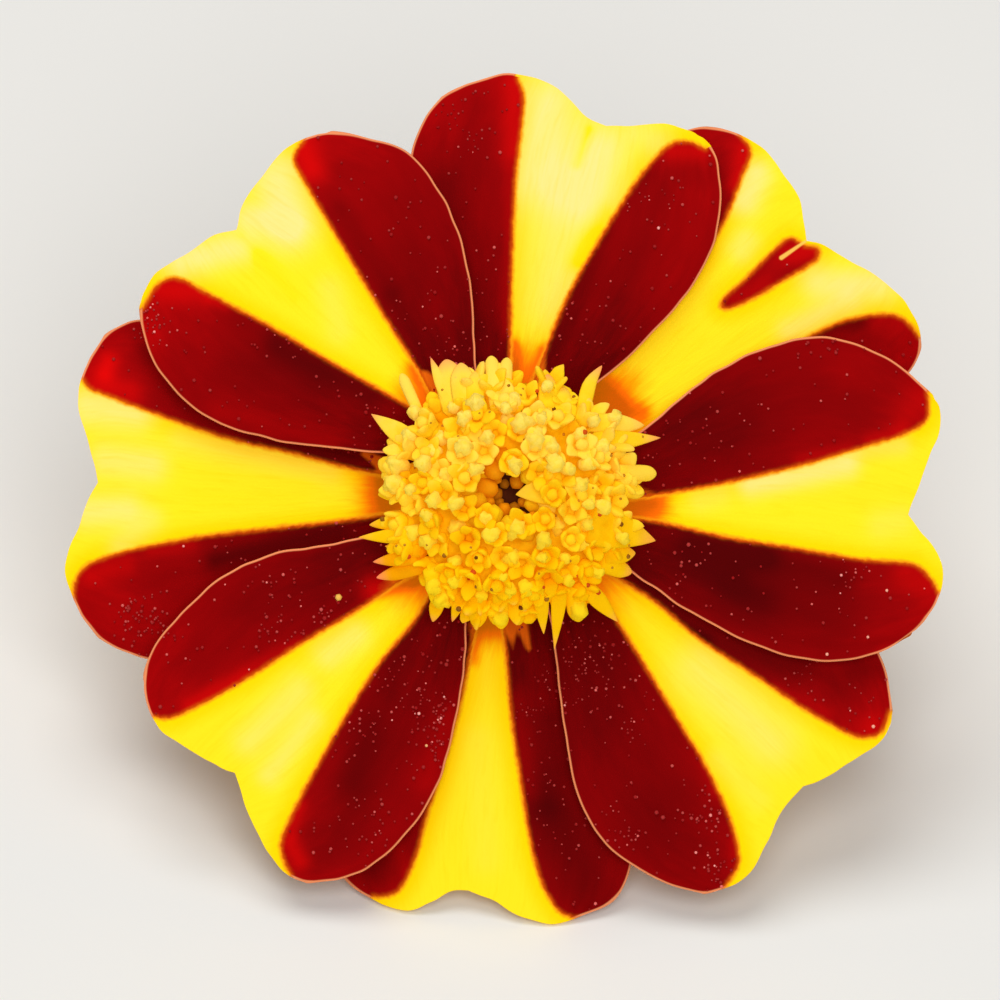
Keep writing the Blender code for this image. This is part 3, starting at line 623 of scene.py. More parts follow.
def rippled(curve, number):
    """An outline with the slight unevenness of a grown edge."""
    push = [noise.noise_vector(Vector((x, y, 9.0 * number)) * RIM_RIPPLE_SCALE)[:2] for x, y in curve]
    return curve + RIM_RIPPLE * np.array(push)


def split_at_shoulder(curve, outward, sideways):
    """Cuts a half outline where it reaches furthest along the diagonal: side, then rim."""
    cut = int(np.argmax(curve @ (outward + sideways)))
    return curve[:cut + 1], curve[cut:]


def petal_sheet(number, petal):
    """The petal's middle surface in rows from the foot of its claw to its rim, and what is kept there."""
    halves = [rippled(spline(petal[side]), number) for side in ("clockwise", "counter")]
    foot = (halves[0][0] + halves[1][0]) / 2
    base_out = float(np.linalg.norm(foot))
    outward = foot / base_out
    sideways = np.array((-outward[1], outward[0]))
    right_side, right_rim = split_at_shoulder(halves[0], outward, -sideways)
    left_side, left_rim = split_at_shoulder(halves[1], outward, sideways)
    left_rim = left_rim[::-1]
    level, bend = petal["level"], base_out - CLAW_RING

    # Columns crowd towards the sides, and rows towards the rim.
    even = np.linspace(0.0, 1.0, PETAL_COLUMNS + 1)
    u = (1 - SIDE_CROWDING) * even + SIDE_CROWDING * (0.5 - 0.5 * np.cos(math.pi * even))
    v = 1.0 - (1.0 - np.linspace(0.0, 1.0, PETAL_ROWS + 1)) ** RIM_CROWDING
    across = 2 * u - 1

    rows = []
    claw = [(CLAW_RING, CLAW_FOOT)]
    for a in np.radians(CLAW_ANGLES):
        claw.append((base_out - bend * math.cos(a), level - bend + bend * math.sin(a)))
    for (out, z), half_width in zip(claw, CLAW_HALF_WIDTHS):
        flat = outward * out + np.outer(across * half_width, sideways)
        rows.append(np.column_stack((flat, np.full(len(u), z))))

    U, V = u[None, :, None], v[:, None, None]
    right, left = along(right_side, v)[:, None], along(left_side, v)[:, None]
    rim = np.where(U < 0.5, along(right_rim, np.minimum(2 * u, 1.0))[None],
                   along(left_rim, np.maximum(across, 0.0))[None])
    corner = (1 - U) * right_side[-1] + U * left_side[-1]
    flat = (1 - U) * right + U * left + V * (rim - corner)
    up, aside = v[:, None], across[None, :]
    shape = petal["rise"] * (1 - aside ** 2) + petal["tilt"] * aside
    shape = shape - PETAL_GROOVE * np.exp(-(aside / PETAL_GROOVE_WIDTH) ** 2)
    shape = shape + PETAL_WAVE * np.sin(7.0 * up + 2.0 * aside) * aside ** 2
    shape = shape - PETAL_DOME * ((flat ** 2).sum(axis=2) - base_out ** 2)
    wrinkle = 0.0
    for wide, long, apart, strength in PETAL_WRINKLES:
        rough = [[noise.noise(Vector((a * wide, b * long, number * apart))) for a in across] for b in v]
        wrinkle = wrinkle + strength * np.array(rough)
    shape = shape + PETAL_WRINKLE * wrinkle * (0.3 + 0.7 * up)
    height = level + smooth_step(up / PETAL_SPREAD) * shape
    sheet = np.concatenate((np.array(rows), np.concatenate((flat, height[..., None]), axis=2)))
    fan = np.zeros(sheet.shape)
    fan[..., 0] = across[None, :]
    fan[..., 1] = np.concatenate((np.linspace(*CLAW_FAN, len(rows)), v))[:, None]
    fan[..., 2] = number
    return sheet, fan, halves


def distance_to(points, curve):
    """How far each point is from a curve."""
    best = np.full(len(points), 1e9)
    for a, b in zip(curve[:-1], curve[1:]):
        step = b - a
        t = np.clip(((points - a) @ step) / max(step @ step, 1e-12), 0.0, 1.0)
        best = np.minimum(best, np.linalg.norm(points - a - t[:, None] * step, axis=1))
    return best


def inside(points, loop):
    """Which points lie inside a closed loop."""
    hit = np.zeros(len(points), bool)
    for a, b in zip(loop, np.roll(loop, -1, axis=0)):
        spans = (a[1] > points[:, 1]) != (b[1] > points[:, 1])
        rise = b[1] - a[1] if b[1] != a[1] else 1e-12
        hit ^= spans & (points[:, 0] < (b[0] - a[0]) * (points[:, 1] - a[1]) / rise + a[0])
    return hit


def strokes(points, marks):
    """Soft brush strokes on a petal: each from one point to another, with a width and a strength."""
    total = np.zeros(len(points))
    for start, end, width, strength in marks:
        away = distance_to(points, np.array((start, end), float))
        total += strength * np.exp(-(away / width) ** 2)
    return total


def depth_inside(points, edge, loop):
    """How far each point is from an edge, counted below 0 outside the loop."""
    away = distance_to(points, edge)
    return np.where(inside(points, loop), away, -away)


def red_depth(points, petal, halves):
    """How deep each point lies in the red, in millimetres, and below 0 in the yellow."""
    middle = np.concatenate(halves).mean(axis=0)
    depths = []
    for half, side in zip(halves, ("clockwise_edge", "counter_edge")):
        edge = spline(petal[side])
        last = int(np.argmin(np.linalg.norm(half - edge[-1], axis=1)))
        back = half[:last + 1][::-1]
        push = back - middle
        back = back + RED_OVERHANG * push / np.linalg.norm(push, axis=1, keepdims=True)
        depths.append(depth_inside(points, edge, np.concatenate((edge, back))))
    if "island" in petal:
        loop = spline(petal["island"] + petal["island"][:1], 8)
        depths.append(depth_inside(points, loop, loop[:-1]))
    return np.max(depths, axis=0)


def sheet_normals(sheet):
    normals = np.cross(np.gradient(sheet, axis=1), np.gradient(sheet, axis=0))
    return -normals / np.linalg.norm(normals, axis=2, keepdims=True)


def thick_sheet(sheet, thickness, bead):
    """A sheet given its thickness, with a rounded edge: points, faces, and which sheet point each is from."""
    rows, columns = sheet.shape[:2]
    count = rows * columns
    index = np.arange(count).reshape(rows, columns)
    edge = np.concatenate((index[0], index[1:, -1], index[-1, -2::-1], index[-2:0:-1, 0]))
    normals = sheet_normals(sheet).reshape(-1, 3)
    flat = sheet.reshape(-1, 3)
    half = np.full(count, thickness / 2)
    half[edge] *= PETAL_EDGE
    offset = normals * half[:, None]
    loop = flat[edge]
    run = np.roll(loop, -1, axis=0) - np.roll(loop, 1, axis=0)
    out = np.cross(run, normals[edge])
    out /= np.maximum(np.linalg.norm(out, axis=1, keepdims=True), 1e-9)
    points = np.concatenate((flat + offset, flat - offset, loop + out * bead))
    quads = np.stack((index[:-1, :-1], index[:-1, 1:], index[1:, 1:], index[1:, :-1]), axis=-1).reshape(-1, 4)
    faces = quads[:, ::-1].tolist() + (quads + count).tolist()
    mid = 2 * count + np.arange(len(edge))
    after, mid_after = np.roll(edge, -1), np.roll(mid, -1)
    faces += np.stack((edge, after, mid_after, mid), axis=1).tolist()
    faces += np.stack((mid, mid_after, after + count, edge + count), axis=1).tolist()
    return points, faces, np.concatenate((np.arange(count), np.arange(count), edge))


SLIT = ((15.36, 13.52), (16.7, 14.44))
RED_ALONG = ((0.10, srgb(96, 0, 2)), (0.45, srgb(132, 0, 3)), (0.80, srgb(150, 1, 4)), (1.0, srgb(170, 2, 5)))


def slit_line(nodes):
    """1 on the slit between the lobes of the petal with an island of red: a line with a round foot."""
    foot, top = Vector((*SLIT[0], 0)), Vector((*SLIT[1], 0))
    length = (top - foot).length
    way = (top - foot).normalized()
    from_foot = nodes.vectors("SUBTRACT", nodes.place("spot", (1, 1, 0)), foot)
    run, aside = (nodes.vectors("DOT_PRODUCT", from_foot, v, "Value") for v in (way, (-way.y, way.x, 0)))
    before = nodes.maths("MINIMUM", run, 0.0)
    away = nodes.maths("SQRT", aside * aside + before * before) + run * 0.03
    return (1 - nodes.step(away, 0.07, 0.17)) * (1 - nodes.step(run, length, length + 0.3))


def petal_recipe(nodes):
    ragged = nodes.pattern("fan", (22.0, 42.0, 5.0), 3.0)
    streaks = nodes.pattern("fan", (9.0, 1.6, 5.0), 4.0)
    threads = nodes.pattern("fan", (48.0, 4.0, 5.0))
    clouds = nodes.pattern("fan", (2.4, 2.6, 5.0))
    mottle = nodes.pattern("fan", (15.0, 11.0, 5.0), 3.0)
    wrinkles = nodes.pattern("fan", (26.0, 9.0, 5.0))
    velvet = nodes.grain(nodes.here(), 9000.0)
    depth = nodes.value("depth") + (ragged - 0.5) * 0.22
    flush = nodes.value("flush") + (threads - 0.5) * 0.25 + (mottle - 0.5) * 0.6
    shade = nodes.value("run") + (clouds - 0.5) * 0.5 + (streaks - 0.5) * 0.25 + (mottle - 0.5) * 0.35
    pale = nodes.value("pale")
    margin = (1 - nodes.step(nodes.value("rim"), 0.07, 0.15)) * nodes.step(depth, -0.1, 0.15)

    red = nodes.coats(
        nodes.put("ShaderNodeValToRGB", {"stops": RED_ALONG}, {"Fac": shade}, "Color"),
        # the dark coat is painted shade, mostly the shadows under the edges of the petals that overlap this
        # one
        (nodes.value("dusk"), srgb(84, 0, 2)),
        # the bright red coat is brighter red tissue and partly painted highlight
        (nodes.value("glow") * 0.8, srgb(226, 4, 4)),
        # orange-red flush in the red, partly painted shade beside overlapping margins
        (nodes.step(flush, 1.2, 2.2), srgb(236, 108, 14)))
    yellow = nodes.coats(
        nodes.mix(nodes.step(0.0 - depth, 0.15, 1.4), srgb(254, 211, 2), srgb(254, 227, 32)),
        # the pale cream coat is paler yellow and partly painted highlight towards the tips
        (pale * (0.6 + streaks * 0.8) * 0.85, srgb(254, 226, 140)),
        (0.0 - pale, srgb(255, 220, 0)),
        (nodes.step(threads, 0.45, 0.75) * 0.16, srgb(255, 208, 0)),
        (nodes.step(wrinkles, 0.52, 0.7) * 0.16, srgb(248, 204, 0)),
        # the flush coats: orange-red at the base, and in some strokes painted shade beside the margins of
        # overlapping petals
        (nodes.step(flush, 0.1, 0.9), srgb(253, 158, 2)),
        (nodes.step(flush, 0.6, 1.3), srgb(242, 76, 6)),
        (nodes.step(flush, 1.1, 2.1), srgb(190, 28, 4)))
    above = nodes.coats(
        yellow,
        (nodes.step(depth, -0.27, -0.04), srgb(242, 146, 18)),
        (nodes.step(depth, -0.1, 0.05), srgb(194, 52, 6)),
        (nodes.step(depth, 0.0, 0.2), red),
        (margin, srgb(244, 148, 98)),
        (slit_line(nodes), srgb(255, 194, 86)))
    below = nodes.mix(
        nodes.step(depth, -0.4, 0.4) * 0.85,
        nodes.mix(nodes.step(streaks, 0.1, 0.9), srgb(236, 190, 56), srgb(246, 214, 92)),
        nodes.mix(nodes.step(threads, 0.2, 0.8), srgb(158, 38, 22), srgb(182, 62, 32)))

    upper = nodes.step(nodes.value("upper"), 0.35, 0.65)
    in_yellow = 1 - nodes.step(depth, -0.3, 0.3)
    height = threads * (in_yellow * 0.000009 + 0.000004) + (streaks * 0.00003) + (velvet * 0.000006)
    height = height + wrinkles * in_yellow * 0.00003
    # painted glow: an emission that stands in for light shining through the thin petals and lifts their shade
    painted_glow = nodes.mix(in_yellow, nodes.mix(upper, srgb(110, 20, 6), srgb(24, 2, 0)), srgb(255, 186, 0))
    return dict(Base_Color=nodes.mix(upper, below, above), Normal=nodes.relief(height),
                Roughness=0.62 + clouds * 0.12, Emission_Color=painted_glow)


# The petals' emission is a painted glow.
petal_velvet = finish_material("petal_velvet", petal_recipe, Roughness=0.65, Specular_IOR_Level=0.02,
                               Emission_Strength=0.2)


# The flush lies in a ring round the disc, and in the strokes that the petal's own row gives; some of these
# strokes are painted shade beside the margins of the petals that overlap it. What the pollen is sown on is
# kept too: each petal's upper side, its way out, and how deep in the red it is.
FLUSH_RING = 6.4
FLUSH_WIDTH = 2.3
FLUSH_STRENGTH = 1.25
SOWN_FROM_RIM = 0.35
noise.seed_set(RIPPLE_SEED)
sown_places, sown_ways, sown_depths = [], [], []
for number, petal in enumerate(PETALS, start=1):
    sheet, fan, halves = petal_sheet(number, petal)
    points, faces, source = thick_sheet(sheet, PETAL_THICKNESS, PETAL_BEAD)
    sheet_points, fan = sheet.reshape(-1, 3), fan.reshape(-1, 3)
    flat = sheet_points[:, :2]
    count = len(flat)
    claw = np.arange(count) < (len(CLAW_ANGLES) + 1) * (PETAL_COLUMNS + 1)
    rim = np.minimum(distance_to(flat, halves[0]), distance_to(flat, halves[1]))
    rim[claw] = 1.0
    depth = red_depth(flat, petal, halves)
    ring = FLUSH_STRENGTH * np.exp(-((np.linalg.norm(flat, axis=1) - FLUSH_RING) / FLUSH_WIDTH) ** 2)
    kept = dict(fan=fan, spot=np.column_stack((flat, np.zeros(count))), depth=depth, rim=rim,
                flush=ring + strokes(flat, petal.get("flush", ())), run=np.clip(fan[:, 1], 0.0, 1.0))
    for mark in ("pale", "glow", "dusk"):
        kept[mark] = strokes(flat, petal[mark])
    kept = {key: values[source] for key, values in kept.items()}
    upper = np.repeat((1.0, 0.0, 0.6), (count, count, len(source) - 2 * count))
    piece = add_piece("petal_%d" % number, points, faces, petal_velvet, "petals", upper=upper, **kept)
    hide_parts("ray_petal_%d" % number)
    sown = ~claw & (rim > SOWN_FROM_RIM)
    ways = sheet_normals(sheet).reshape(-1, 3)[sown]
    sown_places.append(sheet_points[sown] + ways * PETAL_THICKNESS / 2)
    sown_ways.append(ways)
    sown_depths.append(depth[sown])


# The disc florets: orange-yellow trumpets with five fleshy lobes, packed on a domed core that fills the
# cup. The lobes of the outermost lean out over the petals. Among them stand the round pale heads of
# their styles, and the brown tips of spent stamens lie on them.
CORE_SIDES = 208
CORE_TUBES = 26
CORE_TUBE = 0.06
CORE_TUBES_END = -0.6
CORE_TUBES_FADE = 2.0
CORE_PROFILE = ((2.75, -13.6), (2.85, -8.0), (2.85, -1.7), (3.2, -0.3), (4.1, 0.65), (5.1, 0.95), (5.8, 1.2),
                (6.05, 1.9), (5.6, 2.8), (4.2, 3.55), (2.9, 3.8), (2.0, 3.45), (1.5, 2.9), (1.4, 1.4))
FLORET_SEED = 7
FLORET_TRIES = 6000
FLORET_SPACING = 0.9
FLORET_FIELD = (2.1, 5.6)
FLORET_BUD_SIDE = (95.0, 190.0, 2.75)
FLORET_GAPS = ((6.6, 2.4, 1.1), (5.3, 5.4, 0.7), (-1.8, 6.3, 0.5), (-5.2, 5.9, 0.6), (-7.4, -3.2, 0.9))
FLORET_LEAN = ((2.0, 2.8, 4.0, 5.6), (-14.0, 4.0, 30.0, 62.0))
FLORET_DOME = ((0.0, 2.4, 4.2, 5.6, 6.2), (3.4, 3.3, 2.9, 2.2, 1.5))
FLORET_SIDES = 10
FLORET_LOBES = 5
FLORET_KINDS = (dict(tube=1.1, opening=62.0, length=1.0, blunt=0.9, blush=0.0, head=0.0),
                dict(tube=1.1, opening=48.0, length=1.05, blunt=0.6, blush=0.0, head=0.0),
                dict(tube=1.2, opening=30.0, length=1.0, blunt=1.0, blush=0.0, head=0.36),
                dict(tube=1.2, opening=58.0, length=0.95, blunt=0.8, blush=0.0, head=0.36),
                dict(tube=1.0, opening=22.0, length=1.2, blunt=0.4, blush=0.3, head=0.0))
STYLE_HEAD = ((0.3, -0.6), (0.4, 0.3), (0.9, 0.8), (1.0, 1.3), (0.85, 1.9), (0.4, 2.2))
# The lobes that stand out of the mass, as they are seen face on: the way from foot to tip, the width,
# how blunt and how pink the tip is, from orange 0 to pale 1, and how far it is raised.
LOBE_HEIGHTS = ((0.0, 2.5, 5.0, 6.0, 7.0, 8.0, 9.0), (4.3, 4.9, 4.0, 3.3, 2.6, 2.0, 1.6))
RIM_LOBES = (
    (((-3.2, 4.9), (-3.75, 7.7)), 1.70, 0.85, 0.8, 0.85, 0.1),
    (((-3.6, 5.2), (-4.62, 7.8)), 0.70, 0.35, 1.0, 0.9, 0.12),
    (((-2.7, 5.2), (-2.9, 7.5)), 1.40, 0.8, 0.5, 0.9, 0.5),
    (((-2.1, 5.3), (-2.1, 7.0)), 1.10, 0.6, 0.3, 0.6, 0.5),
    (((-0.9, 5.1), (-1.2, 7.9)), 0.85, 1.0, 0.0, 1.1, 0.2),
    (((-0.5, 5.1), (-0.28, 7.8)), 0.76, 1.0, 0.0, 1.1, 0.18),
    (((-0.7, 5.0), (-0.72, 7.5)), 1.30, 0.8, 0.0, 0.6, 0.05),
    (((-5.4, 4.9), (-6.3, 6.9)), 0.66, 0.9, 0.0, 1.1, 0.1),
    (((-5.8, 3.1), (-8.0, 4.6)), 1.26, 0.1, 0.9, 0.8, 0.0),
    (((-5.5, 2.5), (-7.1, 3.1)), 1.20, 0.7, 0.0, 0.5, 0.0),
    (((-5.9, 0.4), (-7.6, 0.0)), 1.32, 0.4, 0.0, 0.4, -0.1),
    (((2.0, 4.9), (2.0, 6.85)), 1.05, 0.9, 1.0, 0.5, 0.1),
    (((2.6, 4.7), (3.0, 6.1)), 1.20, 0.8, 0.2, 0.5, 0.0),
    (((3.1, 4.5), (3.2, 5.5)), 1.14, 0.8, 0.0, 0.5, 0.1),
    (((0.1, 5.0), (0.5, 6.2)), 1.14, 0.8, 0.2, 0.4, 0.0),
    (((4.5, 4.1), (7.5, 3.95)), 1.15, 0.45, 0.4, 0.85, 0.3),
    (((4.6, 3.0), (8.44, 3.25)), 1.25, 0.15, 0.9, 0.45, 0.0),
    (((5.9, 1.3), (8.2, 1.2)), 0.95, 1.0, 0.0, 1.2, 0.2),
    (((5.8, 0.4), (7.5, 0.1)), 0.90, 1.0, 0.0, 0.7, 0.1),
    (((-5.8, -2.3), (-8.7, -2.4)), 0.87, 0.2, 0.4, 0.5, 0.2),
    (((-6.1, -1.5), (-8.1, -1.7)), 0.78, 0.4, 0.4, 0.1, 0.0),
    (((-5.4, -3.5), (-7.9, -3.8)), 0.90, 0.3, 1.2, -0.3, 0.1),
    (((-5.2, -4.1), (-7.7, -4.7)), 0.85, 0.5, 1.3, -0.5, 0.0),
    (((-5.2, -3.2), (-7.2, -2.9)), 0.80, 0.4, 0.5, 0.1, 0.1),
    (((-4.6, -4.2), (-4.0, -6.5)), 1.05, 0.9, 0.0, 1.2, 0.3),
    (((-4.1, -5.6), (-4.5, -7.2)), 0.84, 0.5, 0.7, 0.1, 0.0),
    (((-2.9, -5.7), (-3.4, -7.2)), 0.66, 0.3, 0.9, 0.3, 0.0),
    (((-2.0, -5.7), (-1.9, -7.5)), 1.20, 0.8, 0.0, 0.3, 0.1),
    (((-0.7, -5.6), (-0.6, -7.6)), 0.93, 1.0, 0.0, 0.8, 0.2),
    (((1.6, -5.3), (1.8, -7.9)), 0.87, 0.2, 0.3, 0.5, 0.1),
    (((2.7, -5.5), (2.4, -8.8)), 0.93, 0.0, 0.6, 0.4, 0.1),
    (((3.5, -5.3), (3.8, -7.2)), 1.17, 1.0, 0.0, 0.7, 0.2),
    (((4.3, -5.3), (6.0, -7.2)), 1.02, 0.2, 0.5, 0.4, 0.1),
    (((4.4, -1.6), (8.15, -2.6)), 2.50, 0.12, 0.6, 0.3, 0.1),
    (((5.2, -3.4), (7.0, -3.3)), 1.20, 0.6, 0.4, 0.3, -0.1),
    (((5.0, -3.9), (6.8, -4.4)), 1.00, 0.8, 0.6, 0.5, 0.0),
    (((3.9, 4.2), (4.2, 5.6), (4.5, 6.5), (5.1, 7.35)), 0.85, 0.5, 1.0, 0.5, 0.1),
    (((2.9, 0.5), (0.2, 0.02)), 2.10, 0.15, 0.0, 0.75, -0.35),
    (((-3.1, 1.7), (-1.55, 1.25)), 0.85, 0.3, 0.0, 0.7, -0.2),
    (((-2.6, 4.0), (-1.5, 2.8)), 1.00, 0.4, 0.0, 0.8, 0.0),
)
# The heads of the styles, each with its place and radius, and the tips of stamens, where 1 is a red one.
STYLE_HEADS = (
    (-5.48, 4.75, 0.48), (-6.65, 1.73, 0.54), (-6.83, 0.62, 0.54), (-5.81, 0.32, 0.30),
    (-4.07, 3.25, 0.39), (-4.43, 2.47, 0.39), (-2.75, 2.77, 0.48), (-2.09, 5.29, 0.51),
    (-2.69, 4.39, 0.45), (-3.77, 1.16, 0.45), (-1.44, 3.31, 0.39), (-5.03, 1.76, 0.45),
    (-0.30, 4.27, 0.39), (-2.09, 1.46, 0.42), (-5.87, 3.43, 0.36), (-3.35, 4.99, 0.33),
    (0.61, 4.09, 0.60), (1.38, 3.19, 0.60), (5.07, 2.77, 0.51), (3.93, 0.56, 0.45), (2.31, 2.77, 0.42),
    (2.49, 1.82, 0.54), (3.15, 1.43, 0.39), (4.29, 1.76, 0.48), (5.85, 4.39, 0.42), (4.71, 4.27, 0.36),
    (0.16, 1.70, 0.45), (-0.32, 4.93, 0.36), (1.71, 4.39, 0.36), (0.10, 5.41, 0.42), (1.95, 6.19, 0.36),
    (3.87, 3.43, 0.36), (-5.69, -2.08, 0.48), (-4.79, -1.09, 0.39), (-4.79, -2.59, 0.45),
    (-3.11, -1.93, 0.54), (-1.20, -2.29, 0.48), (-1.79, -5.65, 0.42), (-4.01, -6.01, 0.48),
    (-4.49, -5.23, 0.45), (-4.49, -0.31, 0.42), (-3.23, -0.49, 0.45), (-6.47, -0.79, 0.30),
    (-3.23, -4.87, 0.42), (-1.50, -1.33, 0.57), (-0.48, -4.69, 0.24), (-0.60, -7.03, 0.45),
    (-3.29, -3.79, 0.36), (0.75, -5.29, 0.47), (2.01, -0.61, 0.54), (1.77, -2.59, 0.48),
    (-0.02, -3.55, 0.48), (4.29, -1.69, 0.42), (4.05, -2.71, 0.45), (5.19, -0.61, 0.45),
    (0.22, -1.99, 0.54), (5.55, -4.69, 0.57), (4.83, -4.33, 0.42), (3.78, -6.61, 0.55),
    (2.55, -1.81, 0.48), (6.27, -2.47, 0.36), (4.35, -0.49, 0.33), (1.71, -3.55, 0.30),
    (-0.14, -5.47, 0.36), (3.03, -3.55, 0.33), (3.15, -4.87, 0.36),
)
STAMEN_TIPS = (
    (-3.95, 5.95, 0.14, 0), (-1.26, 4.69, 0.12, 0), (-3.95, 3.91, 0.13, 0), (-3.05, 3.31, 0.13, 0),
    (-5.51, 1.52, 0.13, 0), (-0.18, 6.19, 0.16, 0), (-1.85, 4.63, 0.11, 0), (-4.61, 4.09, 0.11, 0),
    (2.37, 4.87, 0.16, 0), (2.91, 3.43, 0.14, 0), (4.11, 3.55, 0.26, 1), (-0.20, 6.19, 0.16, 0),
    (0.61, 6.01, 0.13, 0), (0.49, 5.65, 0.13, 0), (1.41, 5.89, 0.20, 1), (3.51, 5.56, 0.20, 0),
    (4.59, 0.41, 0.12, 0), (5.61, 2.24, 0.13, 0), (6.33, 1.10, 0.14, 0), (6.15, -0.22, 0.14, 0),
    (0.69, 3.13, 0.12, 0), (7.41, 3.31, 0.13, 0), (-7.34, -1.36, 0.22, 0), (-6.53, -2.89, 0.13, 0),
    (-6.08, -2.83, 0.13, 0), (-5.87, -3.49, 0.19, 1), (-4.82, -2.83, 0.13, 0), (-3.83, -3.43, 0.24, 0),
    (-2.03, -3.55, 0.16, 0), (-2.33, -2.98, 0.12, 0), (-2.03, -5.20, 0.16, 0), (-3.02, -6.46, 0.24, 0),
    (-1.62, -7.45, 0.25, 0), (-1.14, -5.35, 0.16, 0), (-2.21, -4.39, 0.24, 1), (-2.45, -4.75, 0.16, 1),
    (4.95, -1.09, 0.24, 1), (6.18, -1.66, 0.23, 0), (6.57, -3.49, 0.25, 0), (3.75, -0.34, 0.12, 0),
    (6.63, -2.86, 0.13, 0), (3.27, -3.73, 0.13, 0), (3.72, -4.57, 0.14, 1), (1.53, -4.45, 0.12, 0),
    (4.29, -5.11, 0.20, 1), (5.73, -5.89, 0.25, 1), (0.52, -6.37, 0.28, 0), (1.95, -5.89, 0.22, 0),
    (1.77, -5.23, 0.14, 1), (5.67, -4.12, 0.12, 0), (0.10, -7.39, 0.17, 1), (4.89, -5.53, 0.20, 1),
    (2.49, -1.15, 0.14, 0),
)


def lathe(profile, sides, ridge=0.0, ridges=5):
    """A turned shape from the bottom up, closed at both poles, with soft ridges if asked."""
    turns = np.arange(sides) * 2 * math.pi / sides
    wide = 1 + ridge * np.cos(ridges * turns)
    points = [(r * w * math.cos(a), r * w * math.sin(a), z) for r, z in profile for a, w in zip(turns, wide)]
    points += [(0.0, 0.0, profile[0][1]), (0.0, 0.0, profile[-1][1])]
    return points, capped_faces(len(profile), sides)


def face_height(nodes):
    """How far up the flower's face a point is from the middle, in millimetres."""
    up = face_turn.to_3x3().col[1]
    middle = up.dot(Vector(FLOWER_PLACE) * MM)
    return (nodes.vectors("DOT_PRODUCT", nodes.here(), up, "Value") - middle) / MM


def core_recipe(nodes):
    cloud = nodes.grain(nodes.here(), 1500.0)
    colour = nodes.mix(nodes.step(cloud, 0.3, 0.7), srgb(212, 146, 0), srgb(222, 168, 6))
    tubes = nodes.mix(cloud, srgb(196, 190, 84), srgb(222, 206, 110))
    above = nodes.step(nodes.value("near"), 0.0, 1.0)
    # the emission is a painted glow, dimmed on the tubes below
    return dict(Base_Color=nodes.mix(above, tubes, colour), Normal=nodes.relief(cloud * 0.0001),
                Emission_Color=nodes.mix(above, srgb(20, 18, 4), colour))


core_points, core_faces = lathe(CORE_PROFILE, CORE_SIDES, CORE_TUBE, CORE_TUBES)
core_flesh = finish_material("core_flesh", core_recipe, Roughness=0.7, Specular_IOR_Level=0.05,
                             Emission_Strength=0.3)
core = add_piece("disc_core", core_points, core_faces, core_flesh, "disc_florets",
                 near=[(p[2] - CORE_TUBES_END) / CORE_TUBES_FADE for p in core_points])
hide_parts("disc_florets")

LOBE_STEPS = (0.0, 0.16, 0.34, 0.52, 0.70, 0.85, 0.95)
LOBE_SIDES = 8
LOBE_PATH_STEPS = 40
LOBE_LEAN = 8.0
LOBE_ROOT = (0.08, 0.1)
LOBE_HALF_WIDTH = 0.42
LOBE_THICKNESS = 0.22


def horn_faces(rings, sides):
    """Faces of a horn with a flat foot, whose tip is the point that follows its rings."""
    last, tip = (rings - 1) * sides, rings * sides
    faces = ring_faces(rings, sides)
    faces += [(last + k, last + (k + 1) % sides, tip) for k in range(sides)]
    faces.append(tuple(range(sides - 1, -1, -1)))
    return [f[::-1] for f in faces]


def lobe(mouth, opening, length, blunt):
    """One fleshy lobe that grows from the floret's mouth along +x and curls out by its opening."""
    fine = np.linspace(0.0, 1.0, LOBE_PATH_STEPS + 1)
    lean = np.radians(LOBE_LEAN + opening * fine)
    strides = np.column_stack((np.sin(lean), np.cos(lean)))[1:]
    path = np.concatenate(([(0.0, 0.0)], np.cumsum(strides, axis=0))) * length / LOBE_PATH_STEPS
    path = path + (mouth[0] - LOBE_ROOT[0], mouth[1] - LOBE_ROOT[1])
    points, near = [], []
    for s in LOBE_STEPS:
        out, up = (float(np.interp(s, fine, path[:, k])) for k in (0, 1))
        tilt = math.radians(LOBE_LEAN + opening * s)
        taper = (1 - s ** (1.3 + 3.0 * blunt)) ** (0.75 - 0.3 * blunt)
        wide = LOBE_HALF_WIDTH * (0.85 + 0.3 * math.sin(math.pi * s)) * taper
        deep = LOBE_THICKNESS * (1 - s ** 4) ** 0.5 * (1 - 0.3 * s)
        for k in range(LOBE_SIDES):
            a = 2 * math.pi * k / LOBE_SIDES
            lift = deep * math.sin(a) - 0.2 * wide * math.cos(a) ** 2
            points.append((out + math.cos(tilt) * lift, wide * math.cos(a), up - math.sin(tilt) * lift))
            near.append(0.3 + 0.7 * s)
    points.append((float(path[-1][0]), 0.0, float(path[-1][1])))
    near.append(1.0)
    return points, horn_faces(len(LOBE_STEPS), LOBE_SIDES), near


def small_piece(name, parts):
    """One small mesh from parts, each its points and faces in millimetres and numbers kept at its points."""
    points, faces, kept = [], [], {}
    for part, sides, numbers in parts:
        start = len(points)
        points += [Vector(p) * MM for p in part]
        faces += [tuple(start + i for i in f) for f in sides]
        for key, values in numbers.items():
            kept.setdefault(key, []).extend(values)
    mesh = bpy.data.meshes.new(name)
    mesh.from_pydata(points, [], faces)
    keep(mesh, **kept)
    return bpy.data.objects.new(name, mesh)


